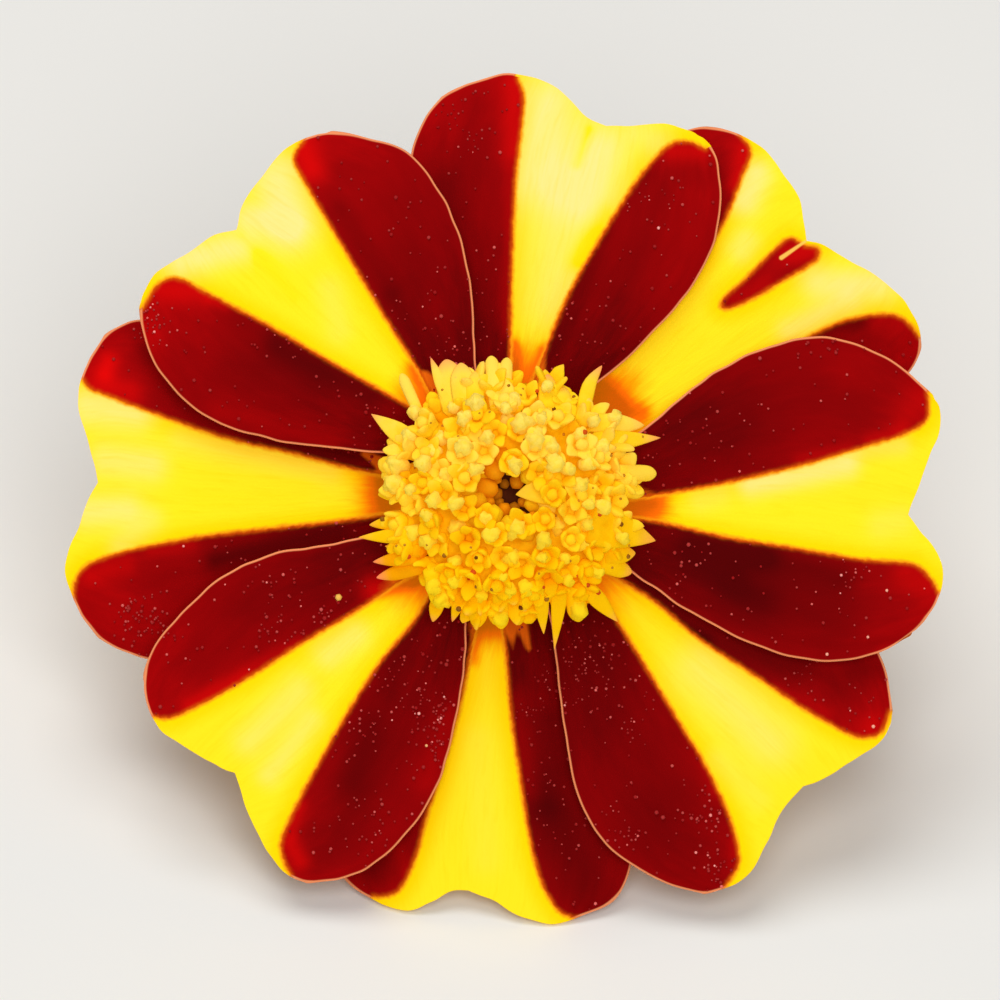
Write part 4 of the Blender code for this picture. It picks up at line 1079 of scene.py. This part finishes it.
def floret(name, kind, draw):
    """A floret along +z: a tube, five lobes, each a little different, and a style with a round head where its
    kind has one.
    """
    tube, head = kind["tube"], kind["head"]
    profile = ((0.3, -1.6), (0.42, 0.0), (0.48, 0.6 * tube), (0.55, tube), (0.45, tube), (0.3, 0.8 * tube))
    points, faces = lathe(profile, FLORET_SIDES)
    near = [max(0.0, 0.1 + 0.15 * p[2] / tube) for p in points]
    parts = [(points, faces, dict(near=near, blush=[0.0] * len(points)))]
    for k in range(FLORET_LOBES):
        length = kind["length"] * draw.uniform(0.65, 1.25)
        opening = kind["opening"] + draw.uniform(-36, 26)
        points, faces, near = lobe((0.5, tube), opening, length, kind["blunt"])
        turn = Matrix.Rotation(2 * math.pi * k / FLORET_LOBES + draw.uniform(-0.3, 0.3), 4, "Z")
        points = [turn @ Vector(p) for p in points]
        points = [tuple(p + 0.11 * noise.noise_vector(p * 2.0)) for p in points]
        blush = [kind["blush"] * max(0.0, n - 0.86) / 0.14 for n in near]
        parts.append((points, faces, dict(near=near, blush=blush)))
    if head:
        points, faces = lathe([(r * head, z * head + tube) for r, z in STYLE_HEAD], FLORET_SIDES)
        aside = draw.uniform(-0.25, 0.25), draw.uniform(-0.25, 0.25)
        points = [Vector((p[0] + aside[0], p[1] + aside[1], p[2])) for p in points]
        points = [tuple(p + 0.1 * noise.noise_vector(p * 3.0)) for p in points]
        parts.append((points, faces, dict(near=[1.0] * len(points), blush=[0.0] * len(points))))
    return small_piece(name, parts)


def floret_recipe(nodes):
    cloud = nodes.grain(nodes.here(), 1400.0)
    papillae = nodes.grain(nodes.here(), 12000.0, 1.0)
    # painted top light: florets higher up the face are paler, as the light falls from above
    painted_top_light = nodes.step(face_height(nodes) + (cloud - 0.5) * 5.0, -5.0, 7.0)
    # orange low on each lobe and paler towards its tip: partly its own colour, partly painted shade in the
    # crevices
    shade = nodes.value("near") * 0.45 + nodes.value("tone") * 0.55 + (cloud - 0.5) * 0.3
    colour = nodes.coats(
        nodes.mix(painted_top_light, srgb(230, 150, 0), srgb(232, 170, 4)),
        (nodes.step(shade, 0.12, 0.48), nodes.mix(painted_top_light, srgb(234, 180, 2), srgb(238, 196, 24))),
        (nodes.step(shade, 0.48, 0.95), nodes.mix(painted_top_light, srgb(238, 194, 10), srgb(242, 206, 76))),
        (nodes.value("blush") * 0.85, srgb(244, 128, 88)))
    # the emission is a painted glow that lifts the shade between the florets
    return dict(Base_Color=colour, Normal=nodes.relief(papillae * 0.00002),
                Emission_Color=nodes.mix(0.4, colour, srgb(196, 126, 0)))


def planting_tree(name, material):
    """Sets kinds of small piece on the points it is given, each turned, sized and toned as its point says."""
    tree = bpy.data.node_groups.new(name, "GeometryNodeTree")
    tree.interface.new_socket(name="Points", in_out="INPUT", socket_type="NodeSocketGeometry")
    for entry, kind in (("Pieces", "NodeSocketCollection"), ("Size", "NodeSocketFloat"),
                        ("Size variation", "NodeSocketFloat"), ("Seed", "NodeSocketInt")):
        tree.interface.new_socket(name=entry, in_out="INPUT", socket_type=kind)
    tree.interface.new_socket(name="Pieces set", in_out="OUTPUT", socket_type="NodeSocketGeometry")
    nodes = Nodes(tree)
    group = tree.nodes.new("NodeGroupInput")
    given = {s.name: Socket(nodes, s) for s in group.outputs if s.name}

    def kept(key, kind):
        return nodes.put("GeometryNodeInputNamedAttribute", {"data_type": kind}, {"Name": key}, "Attribute")

    least, most = 1 - given["Size variation"], 1 + given["Size variation"]
    sizes = nodes.put("FunctionNodeRandomValue", {"data_type": "FLOAT"},
                      {"Min": least, "Max": most, "Seed": given["Seed"]})
    turn = nodes.put("FunctionNodeEulerToRotation", None, {"Euler": kept("turn", "FLOAT_VECTOR")})
    pieces = nodes.put("GeometryNodeCollectionInfo", {"transform_space": "ORIGINAL"},
                       {"Collection": given["Pieces"], "Separate Children": True, "Reset Children": True})
    placed = nodes.put("GeometryNodeInstanceOnPoints", None,
                       {"Points": given["Points"], "Instance": pieces, "Pick Instance": True,
                        "Instance Index": kept("kind", "INT"), "Rotation": turn,
                        "Scale": sizes * given["Size"] * kept("size", "FLOAT")})
    toned = nodes.put("GeometryNodeStoreNamedAttribute", {"data_type": "FLOAT", "domain": "INSTANCE"},
                      {"Geometry": placed, "Name": "tone", "Value": kept("shade", "FLOAT")})
    real = nodes.put("GeometryNodeRealizeInstances", None, {"Geometry": toned})
    done = nodes.put("GeometryNodeSetMaterial", None, {"Geometry": real, "Material": material})
    out = tree.nodes.new("NodeGroupOutput")
    tree.links.new(done.output, out.inputs[0])
    return tree


def planted(name, spots, kinds, material, variation, seed):
    """Plants small pieces on spots, each a place, a turn, a kind, a size and a tone, as one plain mesh."""
    group = bpy.data.collections.new(name + "_kinds")
    for kind in kinds:
        group.objects.link(kind)
    places, turns, chosen, sizes, tones = zip(*spots)
    mesh = bpy.data.meshes.new(name + "_spots")
    mesh.from_pydata([lay_down @ Vector(place) for place in places], [], [])
    turns = [tuple((face_turn.to_3x3() @ turn.to_3x3()).to_euler()) for turn in turns]
    keep(mesh, turn=turns, kind=chosen, size=sizes, shade=tones)
    host = set_out(name, mesh)
    tree = planting_tree(name + "_planting", material)
    modifier = host.modifiers.new("planting", "NODES")
    modifier.node_group = tree
    entries = {item.name: item.identifier for item in tree.interface.items_tree if item.in_out == "INPUT"}
    given = {"Pieces": group, "Size": 1.0, "Size variation": variation, "Seed": seed}
    for entry, value in given.items():
        modifier[entries[entry]] = value
    bpy.context.view_layer.update()
    plain = bpy.data.meshes.new_from_object(host.evaluated_get(bpy.context.evaluated_depsgraph_get()))
    host.modifiers.remove(modifier)
    host.data = plain
    plain.shade_smooth()
    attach(host, "root")
    return host


def leaning(angle, lean, spin):
    """A turn that leans a small piece away from the middle, towards an angle on the face."""
    return (Matrix.Rotation(math.radians(angle), 4, "Z") @ Matrix.Rotation(math.radians(lean), 4, "Y")
            @ Matrix.Rotation(spin, 4, "Z"))


def on_face(out, angle, up):
    return (out * math.cos(math.radians(angle)), out * math.sin(math.radians(angle)), up)


def polar(x, y):
    """How far out a place on the face is, and at what angle."""
    return math.hypot(x, y), math.degrees(math.atan2(y, x))


draw = random.Random(FLORET_SEED)
floret_kinds = [floret("floret_%d" % n, kind, draw) for n, kind in enumerate(FLORET_KINDS)]
floret_places = []
for k in range(FLORET_TRIES):
    least, most = FLORET_FIELD
    out, angle = math.sqrt(draw.uniform(least ** 2, most ** 2)), draw.uniform(0, 360)
    x, y, up = on_face(out, angle, 0.0)
    beside_buds = FLORET_BUD_SIDE[0] < angle < FLORET_BUD_SIDE[1] and out < FLORET_BUD_SIDE[2]
    if beside_buds or any(math.hypot(x - gap[0], y - gap[1]) < gap[2] for gap in FLORET_GAPS):
        continue
    if all(math.hypot(x - p[0], y - p[1]) > FLORET_SPACING for p in floret_places):
        floret_places.append((x, y, out, angle))
floret_spots = []
for x, y, out, angle in floret_places:
    up = float(np.interp(out, *FLORET_DOME)) - 0.1 + draw.uniform(-0.25, 0.25)
    lean = float(np.interp(out, *FLORET_LEAN)) + draw.uniform(-10, 10)
    kind = draw.choice((0, 1, 2, 4) if out > 4.6 else (0, 1, 2, 3))
    tone = draw.random() * min(1.0, (out - 1.5) / 1.4)
    floret_spots.append(((x, y, up), leaning(angle, lean, draw.uniform(0, 6.28)), kind, 1.0, tone))
floret_flesh = finish_material("floret_flesh", floret_recipe, Roughness=0.75, Specular_IOR_Level=0.03,
                               Emission_Strength=0.3)
florets = planted("disc_florets_open", floret_spots, floret_kinds, floret_flesh, 0.1, 3)
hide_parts("disc_florets")

STRAP_STEPS = (-1.0, -0.45, 0.0, 0.16, 0.32, 0.48, 0.60, 0.70, 0.79, 0.87, 0.93, 0.97, 0.99)
STRAP_SIDES = 12
STRAP_THICKNESS = 0.2
STRAP_ROOT_IN = 0.85
STRAP_ROOT_DEPTH = 1.9


def strap(way, width, blunt, lift):
    """A long lobe that rises from the core and lies out along its way, and how far along it is."""
    run = [Vector((x, y, float(np.interp(math.hypot(x, y), *LOBE_HEIGHTS)) + lift)) for x, y in way]
    root = Vector((run[0].x * STRAP_ROOT_IN, run[0].y * STRAP_ROOT_IN, run[0].z - STRAP_ROOT_DEPTH))
    above = spline([tuple(p) for p in run], 24)
    length = np.concatenate(([0.0], np.cumsum(np.linalg.norm(np.diff(above, axis=0), axis=1))))
    heading = (run[-1] - run[0]).normalized()
    across = Vector((0, 0, 1)).cross(heading).normalized()
    over = heading.cross(across)
    cap_start = 0.15 * (1 - blunt) + max(0.2, 1 - 0.6 * width / length[-1]) * blunt
    points, near = [], []
    for s in STRAP_STEPS:
        if s < 0:
            centre = run[0].lerp(root, -s)
            wide = width / 2 * (0.9 + 0.4 * s)
        else:
            centre = Vector([float(np.interp(s * length[-1], length, above[:, k])) for k in range(3)])
            cap = max(0.0, (s - cap_start) / (1 - cap_start))
            wide = width / 2 * (0.9 + 0.1 * math.sin(math.pi * s))
            wide *= (1 - cap ** (1.1 + 0.9 * blunt)) ** (0.9 - 0.4 * blunt)
        deep = min(STRAP_THICKNESS * (1 - max(s, 0.0) ** 4) ** 0.5, wide)
        for k in range(STRAP_SIDES):
            a = 2 * math.pi * k / STRAP_SIDES
            bend = (0.45 - 0.75 * blunt) * min(wide, 0.5) * math.cos(a) ** 2
            points.append(centre + across * wide * math.cos(a) + over * (deep * math.sin(a) + bend))
            near.append(max(0.0, 0.3 + 0.7 * s))
    points.append(run[-1])
    near.append(1.0)
    return points, horn_faces(len(STRAP_STEPS), STRAP_SIDES), near


rim_points, rim_faces, rim_kept = [], [], dict(near=[], tone=[], blush=[])
for way, width, blunt, blush, tone, lift in RIM_LOBES:
    points, faces, near = strap(way, width, blunt, lift)
    rim_faces += [tuple(len(rim_points) + i for i in f) for f in faces]
    rim_points += points
    rim_kept["near"] += near
    rim_kept["tone"] += [tone] * len(points)
    rim_kept["blush"] += [blush * max(0.0, n - 0.78) / 0.22 for n in near]
rim_lobes = add_piece("disc_rim_lobes", rim_points, rim_faces, floret_flesh, "disc_florets", **rim_kept)
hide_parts("disc_florets")


def top_of(*pieces):
    """A finder of the height of the topmost surface over a place on the face, or None."""
    back = lay_down.inverted()
    points, faces = [], []
    for piece in pieces:
        start = len(points)
        points += [back @ v.co for v in piece.data.vertices]
        faces += [[start + i for i in f.vertices] for f in piece.data.polygons]
    tree = bvhtree.BVHTree.FromPolygons(points, faces)

    def height(x, y):
        spot = tree.ray_cast(Vector((x, y, 30.0)), Vector((0, 0, -1)))[0]
        return None if spot is None else spot.z
    return height


def style_recipe(nodes):
    # painted top light: heads higher up the face are paler, as the light falls from above
    painted_top_light = nodes.step(face_height(nodes), -6.5, 6.0)
    fluff = nodes.grain(nodes.here(), 3500.0)
    head = nodes.mix(painted_top_light, srgb(234, 198, 22), srgb(238, 210, 92))
    head = nodes.mix(nodes.step(fluff, 0.35, 0.75) * 0.5, head, srgb(230, 192, 20))
    colour = nodes.mix(nodes.step(nodes.value("near"), 0.2, 0.7), srgb(220, 158, 4), head)
    # the emission is a painted glow that lifts the shade among the heads
    return dict(Base_Color=colour, Normal=nodes.relief(fluff * 0.00006),
                Emission_Color=nodes.mix(0.4, colour, srgb(190, 140, 0)))


def rounded(name, profile, sides, ridge=0.0, lumps=0.0):
    """A small turned piece, with ridges and lumps if asked, that keeps how far up it each point is."""
    points, faces = lathe(profile, sides, ridge)
    lowest, highest = profile[0][1], profile[-1][1]
    near = [(p[2] - lowest) / (highest - lowest) for p in points]
    points = [Vector(p) * (1 + lumps * noise.noise(Vector(p) * 4.0)) for p in points]
    return small_piece(name, [(points, faces, dict(near=near))])


STYLE_PROFILES = (
    (((0.14, -1.6), (0.16, -0.6), (0.30, -0.4), (0.40, -0.1), (0.36, 0.2), (0.18, 0.36)), 0.5),
    (((0.14, -1.6), (0.18, -0.7), (0.34, -0.45), (0.40, -0.05), (0.28, 0.28), (0.08, 0.4)), 0.6),
)
STYLE_RADIUS = 0.4
style_kinds = [rounded("style_%d" % n, profile, 14, 0.0, lumps)
               for n, (profile, lumps) in enumerate(STYLE_PROFILES)]
style_spots = []
florets_top = top_of(florets, rim_lobes, core)
for x, y, radius in STYLE_HEADS:
    out, angle = polar(x, y)
    up = florets_top(x, y)
    if up is not None:
        turn = leaning(angle, 5.0 * out + draw.uniform(-8, 8), draw.uniform(0, 6.28))
        place, size = (x, y, up + 0.3 * radius), radius / STYLE_RADIUS
        style_spots.append((place, turn, draw.choice((0, 1)), size, draw.random()))
style_flesh = finish_material("style_flesh", style_recipe, Roughness=0.75, Specular_IOR_Level=0.03,
                              Emission_Strength=0.3)
styles = planted("disc_styles", style_spots, style_kinds, style_flesh, 0.05, 11)
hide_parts("disc_florets")


def stamen_recipe(nodes):
    tone = nodes.value("tone")
    brown = nodes.mix(tone * 2.2, srgb(116, 62, 12), srgb(202, 140, 34))
    return dict(Base_Color=nodes.mix(nodes.step(tone, 0.5, 0.7), brown, srgb(212, 82, 18)))


def grain_mesh(name, radius):
    """A tiny round grain of twenty faces."""
    shape = bmesh.new()
    bmesh.ops.create_icosphere(shape, subdivisions=1, radius=radius * MM)
    mesh = bpy.data.meshes.new(name)
    shape.to_mesh(mesh)
    shape.free()
    return bpy.data.objects.new(name, mesh)


stamen_spots = []
heads_top = top_of(florets, rim_lobes, styles, core)
for x, y, radius, red in STAMEN_TIPS:
    up = heads_top(x, y)
    if up is not None:
        turn = Matrix.Rotation(draw.uniform(0, 6.28), 4, "Z")
        brown = 0.42 if radius < 0.15 else draw.uniform(0.0, 0.3)
        stamen_spots.append(((x, y, up - 0.2 * radius), turn, 0, radius * 0.75, float(red) or brown))
stamen_skin = finish_material("stamen_skin", stamen_recipe, Roughness=0.8, Specular_IOR_Level=0.08)
stamens = planted("disc_stamen_tips", stamen_spots, [grain_mesh("stamen_tip", 1.0)], stamen_skin,
                  0.15, 17)
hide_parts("disc_florets")


# The disc's middle: fat closed buds, most of them orange, that lean together round a small dark hollow.
# Each has its place and radius, how far it leans to the middle, its tone and how far it is raised.
PLUG_PROFILE = ((1.9, 1.7), (1.95, 2.6), (1.6, 2.9), (1.0, 2.8), (0.5, 2.4))
PLUG_SIDES = 64
BUDS = (
    (0.04, 1.77, 0.56, 15, 0.9, 0.25), (0.30, 0.80, 0.42, 15, 0.28, -0.1),
    (-1.25, 1.75, 0.56, 42, 0.45, 0.2), (-0.62, 2.4, 0.50, 25, 0.48, 0.15),
    (-1.8, 0.5, 0.54, 48, 0.45, 0.15), (-1.4, -0.4, 0.38, 20, 0.34, -0.1),
    (-0.95, 0.08, 0.36, 20, 0.18, -0.25), (-0.72, -0.4, 0.30, 10, 0.22, -0.3),
    (-2.2, -0.35, 0.52, 25, 0.62, 0.1), (-0.48, -0.88, 0.42, 15, 0.38, -0.1),
    (0.12, -0.72, 0.32, 10, 0.18, -0.35), (0.6, -0.4, 0.32, 10, 0.3, -0.3),
    (0.55, -1.35, 0.40, 15, 0.5, 0.0), (1.28, -1.5, 0.50, 20, 0.5, 0.1),
    (-1.25, -1.3, 0.58, 20, 0.9, 0.2), (-0.2, -1.85, 0.58, 15, 0.95, 0.3),
    (-2.1, -1.45, 0.50, 20, 0.85, 0.25), (1.15, 1.3, 0.58, 25, 1.0, 0.25),
    (1.75, 1.9, 0.55, 15, 1.0, 0.35), (1.2, -0.62, 0.44, 25, 0.95, 0.0), (2.0, -1.3, 0.50, 15, 0.9, 0.2),
    (-0.95, 1.0, 0.36, 28, 0.35, -0.2), (-0.42, 0.62, 0.28, 15, 0.14, -0.4),
    (-2.6, 1.25, 0.50, 25, 0.6, 0.15), (-2.65, 0.35, 0.50, 25, 0.8, 0.2),
    (0.9, 2.4, 0.50, 12, 0.95, 0.35), (0.85, -2.2, 0.52, 10, 0.95, 0.3),
)
BUD_PROFILES = (
    ((0.35, -0.8), (0.5, 0.2), (0.6, 0.9), (0.58, 1.45), (0.42, 1.85), (0.16, 2.05)),
    ((0.35, -0.8), (0.48, 0.2), (0.58, 0.9), (0.52, 1.5), (0.32, 1.95), (0.1, 2.15)),
)
BUD_SIDES = 15
BUD_RIDGE = 0.07
BUD_FOOT = 2.6
BUD_RADIUS = 0.6


# The hollow's floor: a dark brown cap, painted shade in the deep middle of the disc.
def hollow_shade_recipe(nodes):
    cloud = nodes.grain(nodes.here(), 2500.0)
    return dict(Base_Color=nodes.mix(cloud, srgb(54, 18, 4), srgb(96, 40, 6)))


def bud_recipe(nodes):
    tone = nodes.value("tone")
    cloud = nodes.grain(nodes.here(), 1500.0)
    dull = nodes.mix(nodes.step(tone, 0.0, 0.42), srgb(112, 64, 10), srgb(220, 138, 6))
    bright = nodes.mix(nodes.step(tone, 0.4, 0.9), dull, srgb(226, 180, 16))
    deep = nodes.mix(0.3, bright, srgb(196, 104, 0))
    colour = nodes.mix(nodes.step(nodes.value("near") + (cloud - 0.5) * 0.3, 0.3, 0.85), deep, bright)
    # the emission is a painted glow that lifts the shade on the buds
    return dict(Base_Color=colour, Normal=nodes.relief(nodes.grain(nodes.here(), 9000.0) * 0.00002),
                Emission_Color=nodes.mix(0.2, colour, srgb(200, 120, 0)))


plug_points, plug_faces = lathe(PLUG_PROFILE, PLUG_SIDES)
hollow_shade_skin = finish_material("hollow_shade_skin", hollow_shade_recipe, Roughness=0.8, Specular_IOR_Level=0.1)
plug = add_piece("disc_hollow", plug_points, plug_faces, hollow_shade_skin, "disc_buds")
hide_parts("disc_buds")
bud_kinds = [rounded("bud_%d" % n, profile, BUD_SIDES, BUD_RIDGE) for n, profile in enumerate(BUD_PROFILES)]
bud_skin = finish_material("bud_skin", bud_recipe, Roughness=0.7, Specular_IOR_Level=0.04,
                           Emission_Strength=0.16)
bud_spots = []
for n, (x, y, radius, lean, tone, lift) in enumerate(BUDS):
    out, angle = polar(x, y)
    place = on_face(out + BUD_RADIUS * math.sin(math.radians(lean)), angle, BUD_FOOT + lift)
    turn = leaning(angle, -lean, draw.uniform(0, 6.28))
    bud_spots.append((place, turn, n % 2, radius / BUD_RADIUS, tone))
buds = planted("disc_buds_closed", bud_spots, bud_kinds, bud_skin, 0.04, 5)
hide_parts("disc_buds")


# Pollen: pale pink grains that fall from the disc and cling to the red velvet, thickest near the disc
# and in a few drifts. A drift has its middle, its spread, how many grains it has, their size and how
# pale they are, where 2 is golden.
POLLEN_GRAINS = 1300
POLLEN_NEAREST = 7.2
POLLEN_FURTHEST = 25.5
POLLEN_RADIUS = 0.066
POLLEN_REACH = 0.25
POLLEN_LEAST_DEPTH = 0.1
PETALS_APART = 0.4
PALENESS_SPREAD = 1.15
FIELD_PALENESS = 0.038
DRIFT_PALENESS = 0.06
POLLEN_DRIFTS = (
    ((8.3, 16.8), 1.3, 26, 0.9, 1.0), ((-3.8, 21.4), 0.6, 16, 0.9, 0.6),
    ((-2.4, 20.2), 0.6, 16, 0.9, 0.8), ((16.1, 8.3), 0.7, 8, 1.3, 1.0), ((18.4, 8.3), 0.5, 8, 1.3, 1.0),
    ((12.0, 3.2), 2.0, 24, 1.0, 1.0), ((19.3, -4.2), 0.7, 20, 1.0, 0.9),
    ((16.6, -10.6), 0.6, 12, 1.0, 0.8), ((19.8, -12.0), 1.0, 16, 1.0, 0.8),
    ((4.2, -10.0), 1.3, 80, 1.0, 0.9), ((6.6, -13.3), 0.6, 16, 1.1, 1.0),
    ((6.7, -19.5), 0.4, 18, 1.2, 1.0), ((11.2, -18.2), 0.7, 34, 1.2, 1.0),
    ((11.5, -21.2), 0.6, 34, 1.2, 1.0), ((3.3, -19.1), 1.2, 24, 1.0, 0.8),
    ((1.8, -16.2), 0.6, 9, 1.0, 0.8), ((0.7, -12.5), 0.5, 12, 1.0, 0.8),
    ((-6.4, -10.1), 1.1, 40, 1.0, 0.8), ((-8.7, -13.3), 1.0, 34, 1.1, 0.9),
    ((-4.2, -12.4), 0.7, 40, 1.2, 1.0), ((-4.5, -14.0), 0.6, 22, 1.2, 1.0),
    ((-8.2, -18.8), 0.8, 26, 1.0, 0.9), ((-13.5, -5.0), 0.9, 24, 1.1, 1.0),
    ((-10.9, -7.0), 0.8, 26, 1.3, 1.0), ((-13.7, -8.0), 0.6, 20, 1.2, 1.0),
    ((-21.2, -7.2), 0.9, 70, 1.1, 1.1), ((-20.2, 9.8), 0.7, 40, 1.0, 1.6),
    ((20.3, -8.3), 0.1, 1, 1.5, 1.2), ((21.4, -5.4), 0.1, 1, 1.5, 1.2), ((17.9, -9.1), 0.1, 1, 1.4, 1.2),
    ((20.5, -13.3), 0.1, 1, 1.4, 1.2), ((-9.9, -5.9), 0.05, 1, 2.5, 2.0),
    ((-4.8, -14.2), 0.05, 1, 1.9, 1.6),
)
places, ways, depths = (np.concatenate(kept) for kept in (sown_places, sown_ways, sown_depths))
finder = kdtree.KDTree(len(places))
for n, (x, y, z) in enumerate(places):
    finder.insert((x, y, 0.0), n)
finder.balance()


def settle(x, y):
    """Where a grain that falls at x, y comes to rest on the red of the topmost petal, or None."""
    under = [n for spot, n, away in finder.find_range((x, y, 0.0), POLLEN_REACH)]
    if not under:
        return None
    top = max(under, key=lambda n: places[n][2])
    near = min((n for n in under if places[top][2] - places[n][2] < PETALS_APART),
               key=lambda n: (places[n][0] - x) ** 2 + (places[n][1] - y) ** 2)
    if depths[near] < POLLEN_LEAST_DEPTH:
        return None
    return Vector((x, y, places[near][2])) + Vector(ways[near]) * POLLEN_RADIUS * 0.5


def pollen_recipe(nodes):
    tone = nodes.value("tone")
    colour = nodes.coats(
        nodes.mix(tone * 2.2, srgb(156, 14, 18), srgb(248, 118, 112)),
        (tone * 1.8 - 0.8, srgb(255, 168, 160)),
        (tone - 1.0, srgb(244, 190, 84)))
    return dict(Base_Color=colour)


def paleness(middle):
    """How pale a grain is: most are hardly paler than the velvet, and few of them shine."""
    return min(1.0, middle * math.exp(draw.gauss(0, PALENESS_SPREAD)))


falls = []
for k in range(POLLEN_GRAINS):
    out = POLLEN_NEAREST + (POLLEN_FURTHEST - POLLEN_NEAREST) * draw.random() ** 1.15
    x, y, up = on_face(out, draw.uniform(0, 360), 0.0)
    falls.append((x, y, 1.0 + 0.8 * draw.random() ** 3, paleness(FIELD_PALENESS)))
for (x, y), spread, count, size, pale in POLLEN_DRIFTS:
    falls += [(draw.gauss(x, spread), draw.gauss(y, spread), size * draw.uniform(0.8, 1.2),
               pale * (paleness(DRIFT_PALENESS) if count > 1 else 1.0)) for k in range(count)]
pollen_spots = []
for x, y, size, pale in falls:
    rest = settle(x, y)
    if rest is not None:
        turn = Matrix.Rotation(draw.uniform(0, 6.28), 4, Vector((draw.random(), draw.random(), 0.5)))
        pollen_spots.append((tuple(rest), turn, 0, size, pale))
pollen_skin = finish_material("pollen_skin", pollen_recipe, Roughness=0.8, Specular_IOR_Level=0.1)
pollen = planted("pollen", pollen_spots, [grain_mesh("pollen_grain", POLLEN_RADIUS)], pollen_skin,
                 0.25, 23)
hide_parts(*("ray_petal_%d" % (n + 1) for n in range(len(PETALS))))
